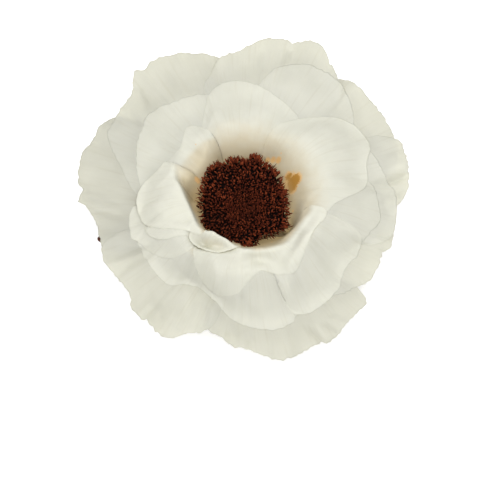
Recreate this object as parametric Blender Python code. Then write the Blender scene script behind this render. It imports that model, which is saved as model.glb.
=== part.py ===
"""White anemone flower head, cut flush under its calyx and lying face up.

The head is 75 mm wide. It holds three whorls of separate petals, a brown centre of packed stamens, and a
calyx with five long sepals. Lengths are in millimetres here and become metres when a mesh is made.
The origin is the middle of the flat cut face, and +Z runs up the flower's axis.

Each petal is a height field over the plan: a radius from the axis, and an azimuth that is 0 along +X and
grows counter-clockwise seen from above. The petals are laid down one after another, and each one rises by a
smooth maximum over those already there, so no two of them meet.
"""

import math
from dataclasses import dataclass, replace

import bpy
import numpy as np

MM = 0.001

# Driving dimensions, in millimetres
PETAL_THICKNESS = 0.7
PETAL_PITCH = 1.1
CUT_RADIUS = 4.8
HIP_RADIUS = 6.4
HIP_TOP = 4.8
SHOULDER_RADIUS = 7.6
SHOULDER_TOP = 6.0
COLUMN_RADIUS = 4.2
CLAW_START = 4.8
CENTRE_BASE = 15.0
FIT_GAP = 0.3

# How a petal's outline and its rest on the petals below are rounded
CLAW_HEIGHT = 6.6
WALL_ONSET = 0.4
RIM_PLACE = 0.7
RIM_ROUNDNESS = 4.0
FULL_WIDTH_AT = 0.58
STEEPEST = 5.0
FALL_OFF = 1.2
STACK_BLEND = 0.8
SETTLING_PASSES = 3
HALO_CELLS = 1.7

# Nodes of the plan grid that every petal shares, closest where the petals climb out of the throat
GRID_RADII = np.array([4.0, 7.4, 10.0, 11.4, 12.6, 14.0, 16.0, 18.6, 22.0, 26.0, 30.5, 35.5, 43.0])
GRID_COLUMNS = 36
GRID_STEP = 2 * math.pi / GRID_COLUMNS
GRID_AZIMUTHS = GRID_STEP * np.arange(GRID_COLUMNS)

# Points along a petal's outline, and sides of a turned body
CLAW_POINTS = 3
SIDE_POINTS = 4
RIM_POINTS = 17
CUTTER_BOTTOM = 1.0
CUTTER_TOP = 34.0
TURNED_SIDES = 36

# Turned outlines as (radius, height), from the axis below, round the outside, to the axis above
CALYX_OUTLINE = (
    (0.0, 0.0),
    (CUT_RADIUS, 0.0),
    (HIP_RADIUS - 0.4, 1.3),
    (HIP_RADIUS, 2.8),
    (HIP_RADIUS + 0.1, HIP_TOP - 0.6),
    (SHOULDER_RADIUS, SHOULDER_TOP - 0.8),
    (SHOULDER_RADIUS, SHOULDER_TOP),
    (COLUMN_RADIUS, SHOULDER_TOP),
    (COLUMN_RADIUS, CENTRE_BASE - FIT_GAP),
    (0.0, CENTRE_BASE - FIT_GAP),
)
CENTRE_OUTLINE = (
    (0.0, CENTRE_BASE),
    (COLUMN_RADIUS, CENTRE_BASE),
    (7.2, CENTRE_BASE + 0.6),
    (8.8, CENTRE_BASE + 2.4),
    (9.7, CENTRE_BASE + 4.4),
    (9.4, CENTRE_BASE + 5.1),
    (7.6, CENTRE_BASE + 5.8),
    (5.0, CENTRE_BASE + 6.0),
    (2.5, CENTRE_BASE + 5.6),
    (0.0, CENTRE_BASE + 5.4),
)

# Stamens, set by the golden angle over the centre's top
STAMEN_COUNT = 130
STAMEN_FIELD = 9.3
STAMEN_RADIUS = 0.66
STAMEN_TIP_RADIUS = 0.52
STAMEN_SIDES = 4
STAMEN_ROOT = 1.0
STAMEN_LENGTH = 1.1
STAMEN_EXTRA = 0.9
STAMEN_LEAN = 36.0
GOLDEN_ANGLE = 180.0 * (3.0 - math.sqrt(5.0))

# Sepals as (azimuth in degrees, reach, half-width, height of the tip)
SEPAL_ROOT_RADIUS = 3.0
SEPAL_ROOT_HEIGHT = 4.4
SEPAL_CELLS = 10
SEPALS = (
    (189.0, 33.4, 3.0, 9.0),
    (255.0, 25.0, 3.4, 6.5),
    (322.0, 26.0, 3.2, 8.0),
    (40.0, 27.0, 3.3, 9.0),
    (115.0, 26.0, 3.4, 9.5),
)

# Colours and roughness
PETAL_COLOUR = (0.80, 0.79, 0.70, 1.0)
CENTRE_COLOUR = (0.10, 0.03, 0.015, 1.0)
CALYX_COLOUR = (0.13, 0.08, 0.04, 1.0)


@dataclass(frozen=True)
class Petal:
    """One petal. Angles are in degrees and lengths in millimetres.

    rim holds the rim's radius at the clockwise side, the middle and the counter-clockwise side.
    lobes are bumps and notches of the rim: (place across from -1 to 1, height, half-width).
    """

    name: str
    azimuth: float
    half_angle: float
    rim: tuple
    throat: float
    wall: float
    crest: float
    ease: float = 1.9
    droop: float = 0.0
    cup: float = 0.0
    twist: float = 0.0
    wave: float = 0.4
    waves: float = 1.5
    phase: float = 0.0
    side: float = 0.62
    claw_angle: float = 22.0
    lobes: tuple = ()


def whorl(base, *rows):
    """Petals that share the values of base and differ where a row says so."""
    return [replace(base, **row) for row in rows]


OUTER = Petal("petal_outer", 0, 34, (36, 38, 36), throat=9.0, wall=24, crest=15, claw_angle=13,
              droop=1.0, cup=0.8)
MIDDLE = Petal("petal_middle", 0, 32, (28, 30, 28), throat=12.6, wall=14, crest=20, claw_angle=14,
               droop=0.8, cup=0.5)
INNER = Petal("petal_inner", 0, 34, (24, 26, 24), throat=11.0, wall=9.5, crest=24.5, claw_angle=10,
              droop=0.6)

# From the lowest petal to the highest, named by whorl and by its place seen from above
PETALS = [
    *whorl(
        OUTER,
        dict(name="petal_outer_right_upper", azimuth=42, half_angle=30, rim=(38.2, 39.4, 37.5), crest=16.0),
        dict(name="petal_outer_bottom", azimuth=288, half_angle=38, rim=(29.8, 35.2, 35.0), crest=11.5, side=0.86,
             lobes=((0.40, 0.7, 0.08),)),
        dict(name="petal_outer_left", azimuth=168, half_angle=30, rim=(38.3, 38.6, 33.0), crest=14.5,
             lobes=((0.20, -0.8, 0.06), (0.31, 0.9, 0.07))),
        dict(name="petal_outer_bottom_left", azimuth=222, half_angle=34, rim=(33.3, 32.6, 32.0), crest=12.5,
             side=0.8, lobes=((-0.22, -0.8, 0.12), (0.06, 1.0, 0.10), (0.46, 1.5, 0.14))),
        dict(name="petal_outer_right_lower", azimuth=342, half_angle=28, rim=(31.2, 33.3, 34.8), crest=14.5,
             lobes=((0.15, 0.9, 0.10),)),
        dict(name="petal_outer_top_left", azimuth=130, half_angle=44, rim=(36.5, 38.4, 30.5), crest=17.5,
             side=0.58, lobes=((-0.20, 1.9, 0.20), (0.45, 1.2, 0.14))),
        dict(name="petal_outer_right", azimuth=12, half_angle=22, rim=(34.2, 38.6, 39.2), crest=16.0),
        dict(name="petal_outer_top", azimuth=78, half_angle=32, rim=(37.8, 40.8, 34.8), crest=19.5,
             lobes=((-0.11, -1.0, 0.06), (-0.36, 1.4, 0.12))),
    ),
    *whorl(
        MIDDLE,
        dict(name="petal_middle_bottom_left", azimuth=222, half_angle=36, rim=(25.0, 25.0, 21.8), crest=17.5),
        dict(name="petal_middle_bottom", azimuth=276, half_angle=28, rim=(23.6, 28.5, 28.6), crest=16.5),
        dict(name="petal_middle_right", azimuth=5, half_angle=26, rim=(34.0, 34.0, 31.2), crest=19.5),
        dict(name="petal_middle_top_right", azimuth=60, half_angle=30, rim=(32.6, 36.5, 29.8), crest=20.5),
        dict(name="petal_middle_top_left", azimuth=138, half_angle=36, rim=(27.4, 29.4, 25.0), crest=20.5),
        dict(name="petal_middle_right_low", azimuth=350, half_angle=26, rim=(28.0, 30.8, 29.0), crest=21.0),
        dict(name="petal_middle_bottom_right", azimuth=322, half_angle=30, rim=(29.6, 28.0, 28.2), crest=19.5,
             lobes=((-0.25, 0.6, 0.15),)),
    ),
    *whorl(
        INNER,
        dict(name="petal_inner_left_low", azimuth=198, half_angle=26, rim=(23.8, 26.2, 25.0), crest=20.5,
             throat=13.4),
        dict(name="petal_inner_top", azimuth=90, half_angle=40, rim=(23.4, 27.4, 19.4), throat=12.0, wall=9.0,
             lobes=((0.40, 1.6, 0.14),)),
        dict(name="petal_inner_top_left", azimuth=150, half_angle=28, rim=(20.0, 20.5, 19.0), crest=22.5,
             throat=12.4),
        dict(name="petal_inner_right", azimuth=19, half_angle=50, rim=(17.5, 26.5, 21.0), crest=26.0, side=0.45,
             throat=11.0, lobes=((0.33, 5.5, 0.20), (-0.10, 3.2, 0.18))),
        dict(name="petal_inner_bottom", azimuth=286, half_angle=42, rim=(21.2, 17.0, 19.8), crest=22.5,
             throat=11.4, wall=4.2, ease=1.4, droop=1.0, lobes=((0.0, -1.0, 0.10),)),
        dict(name="petal_inner_fold_outer", azimuth=211, half_angle=20, rim=(22.0, 18.5, 14.6), crest=21.5,
             throat=12.4, wall=4.2, ease=1.4),
        dict(name="petal_inner_fold_inner", azimuth=240, half_angle=26, rim=(15.8, 15.2, 14.0), crest=23.0,
             throat=10.5, wall=4.0, ease=1.4),
        dict(name="petal_inner_left", azimuth=182, half_angle=28, rim=(20.5, 23.8, 22.0), crest=24.5,
             throat=10.9, wall=5.0, ease=1.4),
    ),
]


def smoothstep(value):
    """0 below 0, 1 above 1, and a smooth rise between."""
    t = np.clip(value, 0.0, 1.0)
    return t * t * (3.0 - 2.0 * t)


def smooth_maximum(first, second, blend):
    """The larger of the two, rounded off over about blend millimetres where they cross."""
    return 0.5 * (first + second + np.sqrt((first - second) ** 2 + blend**2))


def rim_radius(petal, across):
    """Radius of the rim: a parabola through the three rim values, plus the lobes, rounded off at the sides."""
    clockwise, middle, counter = petal.rim
    place = across / RIM_PLACE
    radius = middle + (counter - clockwise) / 2 * place + ((clockwise + counter) / 2 - middle) * place**2
    for centre, bump, width in petal.lobes:
        radius = radius + bump * np.exp(-(((across - centre) / width) ** 2))
    side = petal.side * middle
    radius = np.maximum(radius, side)
    return side + (radius - side) * (1.0 - np.abs(across) ** RIM_ROUNDNESS) ** (1 / RIM_ROUNDNESS)


def half_angle(petal, radius):
    """Half the angle that the petal spans, from its narrow claw to its full width halfway out."""
    widening = (radius - CLAW_START) / (FULL_WIDTH_AT * petal.rim[1] - CLAW_START)
    return np.radians(petal.claw_angle + (petal.half_angle - petal.claw_angle) * smoothstep(widening))


def place_on(petal, radius, azimuth):
    """Place across the petal, which is -1 and 1 at its sides, and along it, 0 at the claw and 1 at the rim."""
    turned = np.angle(np.exp(1j * (azimuth - np.radians(petal.azimuth))))
    across = turned / half_angle(petal, radius)
    rim = rim_radius(petal, np.clip(across, -1.0, 1.0))
    along = (radius - CLAW_START) / (rim - CLAW_START)
    return across, np.clip(along, 0.0, 1.2), rim


def own_height(petal, radius, azimuth):
    """The height the petal would have alone: a wall that eases up to its crest, then a run out to the rim."""
    across, along, _ = place_on(petal, radius, azimuth)
    across = np.clip(across, -1.3, 1.3)
    climb = WALL_ONSET * np.logaddexp(0.0, (radius - petal.throat) / WALL_ONSET) / petal.wall
    rise = 1.0 - np.maximum(1.0 - climb, 0.0) ** petal.ease
    height = CLAW_HEIGHT + (petal.crest - CLAW_HEIGHT) * rise
    height = height - petal.droop * along**4
    height = height + (petal.cup * across**2 + petal.twist * across) * along**2
    ripple = np.sin(2 * math.pi * (petal.waves * across / 2 + petal.phase))
    return height + petal.wave * ripple * along**3


def round_axis(values):
    """The values with the last column before the first and the first after the last."""
    return np.concatenate([values[:, -1:], values, values[:, :1]], axis=1)


def steepness(height):
    """Slope of a height field on the grid, in millimetres per millimetre."""
    along_radius = np.gradient(height, GRID_RADII, axis=0)
    wrapped = round_axis(height)
    along_turn = (wrapped[:, 2:] - wrapped[:, :-2]) / (2 * GRID_STEP) / GRID_RADII[:, None]
    return np.minimum(np.hypot(along_radius, along_turn), STEEPEST)


def distance_outside(petal, radius, azimuth):
    """How far a node lies outside the cells that the petal's outline passes through; 0 or less inside them."""
    across, _, _ = place_on(petal, radius, azimuth)
    turns = [azimuth - GRID_STEP, azimuth, azimuth + GRID_STEP]
    rim = np.max([place_on(petal, radius, turn)[2] for turn in turns], axis=0)
    turned = (np.abs(across) - 1.0) * half_angle(petal, radius) - HALO_CELLS * GRID_STEP
    beside = turned * radius
    beyond = radius - rim - HALO_CELLS * np.gradient(GRID_RADII)[:, None]
    return np.maximum(beside, beyond)


def support_height(laid, slope):
    """The lowest that a petal of this slope may lie over those already laid, which it leaves past their rims."""
    support = np.full_like(slope, -50.0)
    for below, below_slope, outside in laid:
        clearance = PETAL_PITCH * np.sqrt(1.0 + np.maximum(slope, below_slope) ** 2)
        fall = FALL_OFF * np.maximum(outside, 0.0)
        support = np.maximum(support, below + clearance - fall)
    return support


def stack(petals):
    """The height field of each petal on the grid, laid down in the order given, on the calyx's shoulder."""
    radius, azimuth = np.meshgrid(GRID_RADII, GRID_AZIMUTHS, indexing="ij")
    ground = np.full_like(radius, SHOULDER_TOP + FIT_GAP + PETAL_THICKNESS / 2 - PETAL_PITCH)
    laid = [(ground, np.zeros_like(radius), radius - SHOULDER_RADIUS)]
    fields = {}
    for petal in petals:
        alone = own_height(petal, radius, azimuth)
        slope = steepness(alone)
        for _ in range(SETTLING_PASSES):
            height = smooth_maximum(alone, support_height(laid, slope), STACK_BLEND)
            slope = steepness(height)
        laid.append((height, slope, distance_outside(petal, radius, azimuth)))
        fields[petal.name] = (height, slope)
    return fields


def petal_outline(petal):
    """The petal's outline in plan: out along one side, over the rim, back along the other, and the claw."""
    across = np.sin(np.linspace(-math.pi / 2, math.pi / 2, RIM_POINTS))
    rim = np.stack([rim_radius(petal, across), across], axis=-1)
    side_top = rim_radius(petal, np.array([-1.0, 1.0]))
    share = np.linspace(0.0, 1.0, SIDE_POINTS, endpoint=False)[1:]
    rising = np.stack([CLAW_START + (side_top[0] - CLAW_START) * share, -np.ones_like(share)], axis=-1)
    falling = np.stack([side_top[1] + (CLAW_START - side_top[1]) * share, np.ones_like(share)], axis=-1)
    claw = np.stack([np.full(CLAW_POINTS, CLAW_START), np.linspace(1.0, -1.0, CLAW_POINTS)], axis=-1)
    radius, place = np.concatenate([rising, rim, falling, claw]).T
    azimuth = np.radians(petal.azimuth) + half_angle(petal, radius) * place
    return np.stack([radius * np.cos(azimuth), radius * np.sin(azimuth)], axis=-1)


def petal_nodes(petal):
    """Rows and columns of the grid whose cells cover the petal's outline."""
    outline = petal_outline(petal)
    radii = np.hypot(outline[:, 0], outline[:, 1])
    turned = np.angle((outline[:, 0] + 1j * outline[:, 1]) * np.exp(-1j * math.radians(petal.azimuth)))
    first = math.floor((math.radians(petal.azimuth) + turned.min()) / GRID_STEP)
    last = math.ceil((math.radians(petal.azimuth) + turned.max()) / GRID_STEP)
    rows = int(np.searchsorted(GRID_RADII, radii.max())) + 1
    return np.arange(rows), np.arange(first, last + 1)


def new_material(name, colour, roughness):
    """A Principled material of one colour."""
    material = bpy.data.materials.new(name)
    material.use_nodes = True
    shader = material.node_tree.nodes["Principled BSDF"]
    shader.inputs["Base Color"].default_value = colour
    shader.inputs["Roughness"].default_value = roughness
    shader.inputs["Metallic"].default_value = 0.0
    return material


def add_mesh_object(name, points, faces, material):
    """An object from points in millimetres and faces as lists of their numbers."""
    mesh = bpy.data.meshes.new(name)
    mesh.from_pydata((np.asarray(points, dtype=float) * MM).tolist(), [], faces)
    mesh.validate()
    if material:
        mesh.materials.append(material)
    obj = bpy.data.objects.new(name, mesh)
    bpy.context.scene.collection.objects.link(obj)
    return obj


def add_sheet(name, middle, rise, material):
    """A thin solid over a grid of points: its two faces lie rise above and below, split into like triangles."""
    rows, columns = middle.shape[:2]
    lift = np.zeros_like(middle)
    lift[..., 2] = rise
    points = np.concatenate([(middle + lift).reshape(-1, 3), (middle - lift).reshape(-1, 3)])
    count = rows * columns
    faces = []
    for row in range(rows - 1):
        for column in range(columns - 1):
            a = row * columns + column
            b, c, d = a + columns, a + columns + 1, a + 1
            split = [(a, b, c), (a, c, d)] if (row + column) % 2 == 0 else [(a, b, d), (b, c, d)]
            faces += split
            faces += [tuple(count + k for k in reversed(face)) for face in split]
    border = [(k, k + 1) for k in range((rows - 1) * columns, count - 1)]
    border += [(k + 1, k) for k in range(columns - 1)]
    border += [(k, k + columns) for k in range(0, count - columns, columns)]
    border += [(k + columns, k) for k in range(columns - 1, count - columns, columns)]
    faces += [(k, count + k, count + m, m) for k, m in border]
    return add_mesh_object(name, points, faces, material)


def add_prism(name, outline, bottom, top):
    """An upright prism over an outline that runs counter-clockwise."""
    count = len(outline)
    points = [(x, y, z) for z in (bottom, top) for x, y in outline]
    faces = [tuple(reversed(range(count))), tuple(range(count, 2 * count))]
    faces += [(k, (k + 1) % count, count + (k + 1) % count, count + k) for k in range(count)]
    return add_mesh_object(name, points, faces, None)


def turned_body(outline, sides):
    """Points and faces of an outline turned round the axis, closed by a point at each end of it."""
    turn = np.linspace(0.0, 2 * math.pi, sides, endpoint=False)
    rings = np.array([[(r * math.cos(t), r * math.sin(t), z) for t in turn] for r, z in outline[1:-1]])
    points = np.concatenate([rings.reshape(-1, 3), [(0.0, 0.0, outline[0][1]), (0.0, 0.0, outline[-1][1])]])
    bottom, top = len(points) - 2, len(points) - 1
    last = (len(outline) - 3) * sides
    faces = []
    for side in range(sides):
        following = (side + 1) % sides
        faces.append((bottom, following, side))
        faces.append((top, last + side, last + following))
        for ring in range(len(outline) - 3):
            low, high = ring * sides, (ring + 1) * sides
            faces.append((low + side, low + following, high + following, high + side))
    return points, faces


def combine(body, pieces, operation):
    """Join pieces to the body, or keep what lies in them, with one Boolean; the pieces are then removed."""
    collection = bpy.data.collections.new(body.name + "_pieces")
    bpy.context.scene.collection.children.link(collection)
    for piece in pieces:
        bpy.context.scene.collection.objects.unlink(piece)
        collection.objects.link(piece)
    boolean = body.modifiers.new("Combine", "BOOLEAN")
    boolean.operation = operation
    boolean.operand_type = "COLLECTION"
    boolean.collection = collection
    boolean.solver = "EXACT"
    boolean.use_self = operation == "UNION"
    bpy.context.view_layer.update()
    joined = bpy.data.meshes.new_from_object(body.evaluated_get(bpy.context.evaluated_depsgraph_get()))
    body.modifiers.clear()
    body.data = joined
    for piece in pieces:
        bpy.data.objects.remove(piece, do_unlink=True)
    bpy.data.collections.remove(collection)


def stamen(name, azimuth, radius, length, lean, twist, material):
    """One stamen: a short tapered peg, sunk into the centre and leaning outwards."""
    profile_radii = [point[0] for point in CENTRE_OUTLINE[:3:-1]]
    profile_heights = [point[1] for point in CENTRE_OUTLINE[:3:-1]]
    foot = np.array([radius, 0.0, np.interp(radius, profile_radii, profile_heights)])
    axis = np.array([math.sin(lean), 0.0, math.cos(lean)])
    side, front = np.array([math.cos(lean), 0.0, -math.sin(lean)]), np.array([0.0, 1.0, 0.0])
    stations = ((-STAMEN_ROOT, STAMEN_RADIUS), (length, STAMEN_TIP_RADIUS))
    turn = twist + np.linspace(0.0, 2 * math.pi, STAMEN_SIDES, endpoint=False)
    rings = [foot + axis * along + width * (side * math.cos(t) + front * math.sin(t))
             for along, width in stations for t in turn]
    count = STAMEN_SIDES
    faces = [tuple(reversed(range(count))), tuple(range(count, 2 * count))]
    faces += [(k, (k + 1) % count, count + (k + 1) % count, count + k) for k in range(count)]
    turn_z = np.array([[math.cos(azimuth), -math.sin(azimuth), 0.0],
                       [math.sin(azimuth), math.cos(azimuth), 0.0],
                       [0.0, 0.0, 1.0]])
    return add_mesh_object(name, np.array(rings) @ turn_z.T, faces, material)


def make_centre(material):
    """The domed centre with its stamens, which stand close together and are longest at the edge."""
    points, faces = turned_body(CENTRE_OUTLINE, TURNED_SIDES)
    centre = add_mesh_object("centre_stamens", points, faces, material)
    draw = np.random.default_rng(11)
    pieces = []
    for k in range(STAMEN_COUNT):
        outward = math.sqrt((k + 0.5) / STAMEN_COUNT)
        azimuth = math.radians(k * GOLDEN_ANGLE) + draw.uniform(-0.03, 0.03)
        length = STAMEN_LENGTH * draw.uniform(0.75, 1.1) + STAMEN_EXTRA * outward**3 * draw.uniform(0.2, 1.0)
        lean = math.radians(STAMEN_LEAN) * outward**2 * draw.uniform(0.4, 1.0)
        radius = STAMEN_FIELD * outward
        pieces.append(stamen(f"stamen_{k}", azimuth, radius, length, lean, draw.uniform(0, 6.28), material))
    combine(centre, pieces, "UNION")
    return centre


def sepal_grid(azimuth, reach, half_width, tip_height):
    """Middle surface of a sepal: a long pointed blade, arched across, that dips and then lifts to its tip."""
    along = np.linspace(0.0, 1.0, SEPAL_CELLS + 1)[:, None]
    across = np.linspace(-1.0, 1.0, 5)[None, :]
    width = half_width * (0.12 + 0.88 * np.sin(math.pi * np.minimum(0.15 + 0.85 * along, 1.0)) ** 0.7)
    radius = SEPAL_ROOT_RADIUS + (reach - SEPAL_ROOT_RADIUS) * along + 0.0 * across
    sideways = width * across
    height = SEPAL_ROOT_HEIGHT + (tip_height - SEPAL_ROOT_HEIGHT) * along - 0.5 * np.sin(math.pi * along)
    height = height - 0.5 * across**2 * np.sin(math.pi * along)
    turn = math.radians(azimuth)
    x = radius * math.cos(turn) - sideways * math.sin(turn)
    y = radius * math.sin(turn) + sideways * math.cos(turn)
    return np.stack([x, y, height + 0.0 * across], axis=-1)


def make_calyx(material):
    """The hip with its flat cut face, its shoulder under the petals and its column, and five sepals."""
    points, faces = turned_body(CALYX_OUTLINE, TURNED_SIDES)
    calyx = add_mesh_object("calyx", points, faces, material)
    sepals = [
        add_sheet(f"sepal_{k}", sepal_grid(*values), PETAL_THICKNESS / 2, material)
        for k, values in enumerate(SEPALS)
    ]
    combine(calyx, sepals, "UNION")
    return calyx


def make_petals(material):
    """Every petal as its own thin solid: a curved sheet over the shared grid, trimmed to the outline."""
    fields = stack(PETALS)
    for petal in PETALS:
        height, slope = fields[petal.name]
        rows, columns = petal_nodes(petal)
        radius, azimuth = np.meshgrid(GRID_RADII[rows], GRID_STEP * columns, indexing="ij")
        place = np.ix_(rows, columns % GRID_COLUMNS)
        middle = np.stack([radius * np.cos(azimuth), radius * np.sin(azimuth), height[place]], axis=-1)
        rise = PETAL_THICKNESS / 2 * np.sqrt(1.0 + slope[place] ** 2)
        sheet = add_sheet(petal.name, middle, rise, material)
        cutter = add_prism(petal.name + "_outline", petal_outline(petal), CUTTER_BOTTOM, CUTTER_TOP)
        combine(sheet, [cutter], "INTERSECT")


def main():
    for obj in list(bpy.data.objects):
        bpy.data.objects.remove(obj, do_unlink=True)
    make_calyx(new_material("calyx_brown", CALYX_COLOUR, 0.7))
    make_petals(new_material("petal_white", PETAL_COLOUR, 0.6))
    make_centre(new_material("stamen_brown", CENTRE_COLOUR, 0.75))


main()
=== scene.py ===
# %% [markdown]
# # A white anemone, dressed for its portrait
#
# The solids of the flower head are already packed: 23 petals in three whorls, a brown centre and a calyx.
# They carry the weight and the collisions. This lesson puts the finer flower in their place: thin petals
# with soft folds, a head of packed anthers, and a calyx with pointed sepals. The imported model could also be
# kept and only painted, but its petals are thick and faceted on purpose.

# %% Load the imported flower
import math
from dataclasses import dataclass, replace

import bpy
import numpy as np
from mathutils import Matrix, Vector


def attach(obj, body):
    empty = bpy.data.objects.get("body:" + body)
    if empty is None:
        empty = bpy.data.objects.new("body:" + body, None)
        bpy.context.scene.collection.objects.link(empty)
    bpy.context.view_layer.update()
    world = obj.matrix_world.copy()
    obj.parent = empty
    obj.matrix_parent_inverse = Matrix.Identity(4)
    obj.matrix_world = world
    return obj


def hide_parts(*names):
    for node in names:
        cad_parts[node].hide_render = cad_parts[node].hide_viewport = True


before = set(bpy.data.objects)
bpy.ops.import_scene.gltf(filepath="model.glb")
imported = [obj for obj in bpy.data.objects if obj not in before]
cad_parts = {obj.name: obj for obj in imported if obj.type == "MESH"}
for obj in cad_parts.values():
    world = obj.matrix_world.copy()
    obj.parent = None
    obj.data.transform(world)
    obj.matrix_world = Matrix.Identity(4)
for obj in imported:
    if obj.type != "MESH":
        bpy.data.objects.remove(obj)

MM = 0.001
TAU = 2 * math.pi
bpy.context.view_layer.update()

# %% [markdown]
# ## Describing a petal
#
# A petal of an open anemone climbs out of the throat as a steep wall, then bends outwards and runs almost
# level to its rim. It could be sculpted by hand, but then 23 petals would have to be kept apart by eye.
# Here each one is a height over the plan instead, and its rim is a list of places that were measured on the
# photograph: an azimuth in degrees, counter-clockwise from the right, and a distance from the axis in mm.

# %% The values that describe a petal
@dataclass(frozen=True)
class Petal:
    """One petal as numbers. Lengths are in millimetres and angles in degrees.

    rim: (azimuth, radius) places, from the clockwise side to the counter-clockwise one.
    throat, ledge: radius where the wall starts, and where it ends, as one radius or (azimuth, radius) places.
    crest, ease: height at the ledge, and how early the wall flattens towards it.
    fall, droop, cup: slope past the ledge, drop at the rim, and rise of the two sides.
    wave, phase, ruffle: height and start of the slow waves near the rim, and height of its fine ruffles.
    claw_angle, widening: half the angle at the claw, and the share of its length where it is at full width.
    settle, sink_most, brim: how fully, how deep and over what width its edge sinks onto the petals below.
    tone, ledge_highlight, stain: brightness, which is painted light and shade, painted light along the ledge,
    and strength of the stain on the wall.
    """

    name: str
    rim: tuple
    throat: float
    ledge: object
    crest: float
    ease: float = 1.9
    droop: float = 0.6
    fall: float = 0.0
    cup: float = 0.0
    wave: float = 0.4
    phase: float = 0.0
    claw_angle: float = 12.0
    ruffle: float = 0.30
    settle: float = 1.0
    sink_most: float = 9.0
    brim: float = 2.6
    tone: float = 1.0
    stain: float = 0.0
    widening: float = 0.58
    ledge_highlight: float = 0.0


def whorl(base, **rows):
    """Petals that share the values of base and differ where a row says so. Each is named for its place."""
    return [replace(base, name=f"{base.name}_{place}", **row) for place, row in rows.items()]


# Each whorl's tone is painted shade and light: the outer petals are set darker, the inner ones lighter.
OUTER = Petal("petal_outer", (), throat=9.0, ledge=33.0, crest=16.2, droop=1.0, cup=0.8, claw_angle=13,
              ruffle=0.5, sink_most=1.6, brim=3.0, tone=0.91)
MIDDLE = Petal("petal_middle", (), throat=11.4, ledge=20.5, crest=22.2, ease=2.4, droop=0.7, fall=0.28,
               cup=0.4, claw_angle=14, tone=0.975)
INNER = Petal("petal_inner", (), throat=11.0, ledge=20.5, crest=24.2, claw_angle=10, ruffle=0.12, tone=1.02)

# %% [markdown]
# ## The outer whorl
#
# Eight broad petals lie lowest. On a cut head they spread like a saucer, and their rims are the ones that
# dry and ruffle first. They are listed from the lowest to the highest, which is the order they are laid
# down in.

# %% The outer petals
outer_petals = whorl(
    OUTER,
    right_upper=dict(
        tone=0.85, crest=17.2, phase=0.1,
        rim=((10, 24), (14, 34), (20, 37.4), (26.3, 38.9), (30.4, 39.4), (34.3, 39.6), (41.1, 39.6),
             (47.6, 40), (51.3, 40), (55.4, 39), (62, 36.5), (68, 32), (72, 24))),
    bottom=dict(
        tone=0.775, crest=12.7, phase=0.6, wave=0.7,
        rim=((247, 20), (250, 26.5), (253.4, 27.9), (259.7, 28.9), (265.6, 30.7), (272.9, 31.6),
             (276.8, 32.7), (280.4, 33.7), (285.2, 34.9), (288.6, 34.9), (291.9, 34.5), (299.4, 34.3),
             (301, 34.4), (302.7, 35.3), (305.5, 35.3), (308.6, 35.1), (313.1, 34.5), (318.3, 34.6),
             (323.1, 34.9), (324.9, 33.9), (325.7, 32.4), (326.6, 31.1))),
    left=dict(
        tone=0.735, crest=15.7, phase=0.3, wave=0.6,
        rim=((136, 24), (139, 33), (141.9, 37.7), (148.5, 39), (153.1, 38.9), (158.6, 39.7), (165.2, 38.9),
             (167.8, 38.7), (172.6, 37.1), (176, 37.9), (177.2, 36.1), (185.8, 33.3), (194.7, 32.9),
             (199, 28), (201, 20))),
    bottom_left=dict(
        tone=0.81, sink_most=3.0, crest=13.7, phase=0.8, wave=0.6,
        rim=((187, 20), (190, 29), (195.5, 33.3), (198, 33.5), (205.5, 32.3), (214, 31.6), (218.2, 32.2),
             (219.8, 33.3), (226.9, 33.3), (227.8, 32.6), (236.3, 33.6), (239.9, 33.3), (244.8, 30.7),
             (253.4, 27.9), (256.5, 25), (258, 18))),
    right_lower=dict(
        tone=0.85, sink_most=3.0, crest=15.7, phase=0.2, wave=0.6,
        rim=((-48, 20), (-43, 28), (-33.2, 31), (-28.2, 32.7), (-22.7, 33.1), (-16.1, 33), (-13.7, 34.6),
             (-7.4, 34.6), (1.5, 35), (6, 33), (10, 24))),
    top_left=dict(
        tone=0.84, sink_most=5.0, crest=18.7, phase=0.5, wave=0.5,
        rim=((86, 22), (90, 32), (98.6, 38.1), (101.4, 39.2), (103.7, 40.2), (107.7, 40.8), (112.4, 41.7),
             (117.1, 42.6), (120.8, 42.4), (123.7, 41.8), (125.6, 42.8), (127.3, 42.2), (131.2, 39.1),
             (135.5, 38.4), (141.5, 37.5), (149.4, 36.3), (153.8, 33.4), (160.7, 29.2), (169.9, 25),
             (175, 18))),
    right=dict(
        tone=0.90, sink_most=3.5, crest=17.2, phase=0.4, wave=0.6,
        rim=((-10, 22), (-6, 31), (2, 35), (8.2, 38), (14.9, 39.3), (20.8, 39.8), (25, 39.7), (26.2, 38.9),
             (30, 36), (34, 26))),
    top=dict(
        tone=0.875, sink_most=4.0, crest=20.7, phase=0.0, wave=0.5,
        rim=((46, 24), (50, 34), (55.7, 38.7), (60.4, 40.7), (63.9, 43.2), (66.2, 44.2), (69.4, 44.3),
             (74.1, 41.9), (75.5, 42.2), (77.7, 42.5), (80.8, 42.3), (84.5, 41.0), (90.2, 38.8),
             (98.4, 36.7), (103.2, 33.4), (107.1, 30.7), (110, 24))),
)
print("outer petals:", len(outer_petals))

# %% [markdown]
# ## The middle whorl
#
# Seven petals stand a little steeper and lie on the outer ones. They are pale on pale: only their rims and
# the faint shade beside them tell them apart.

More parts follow.
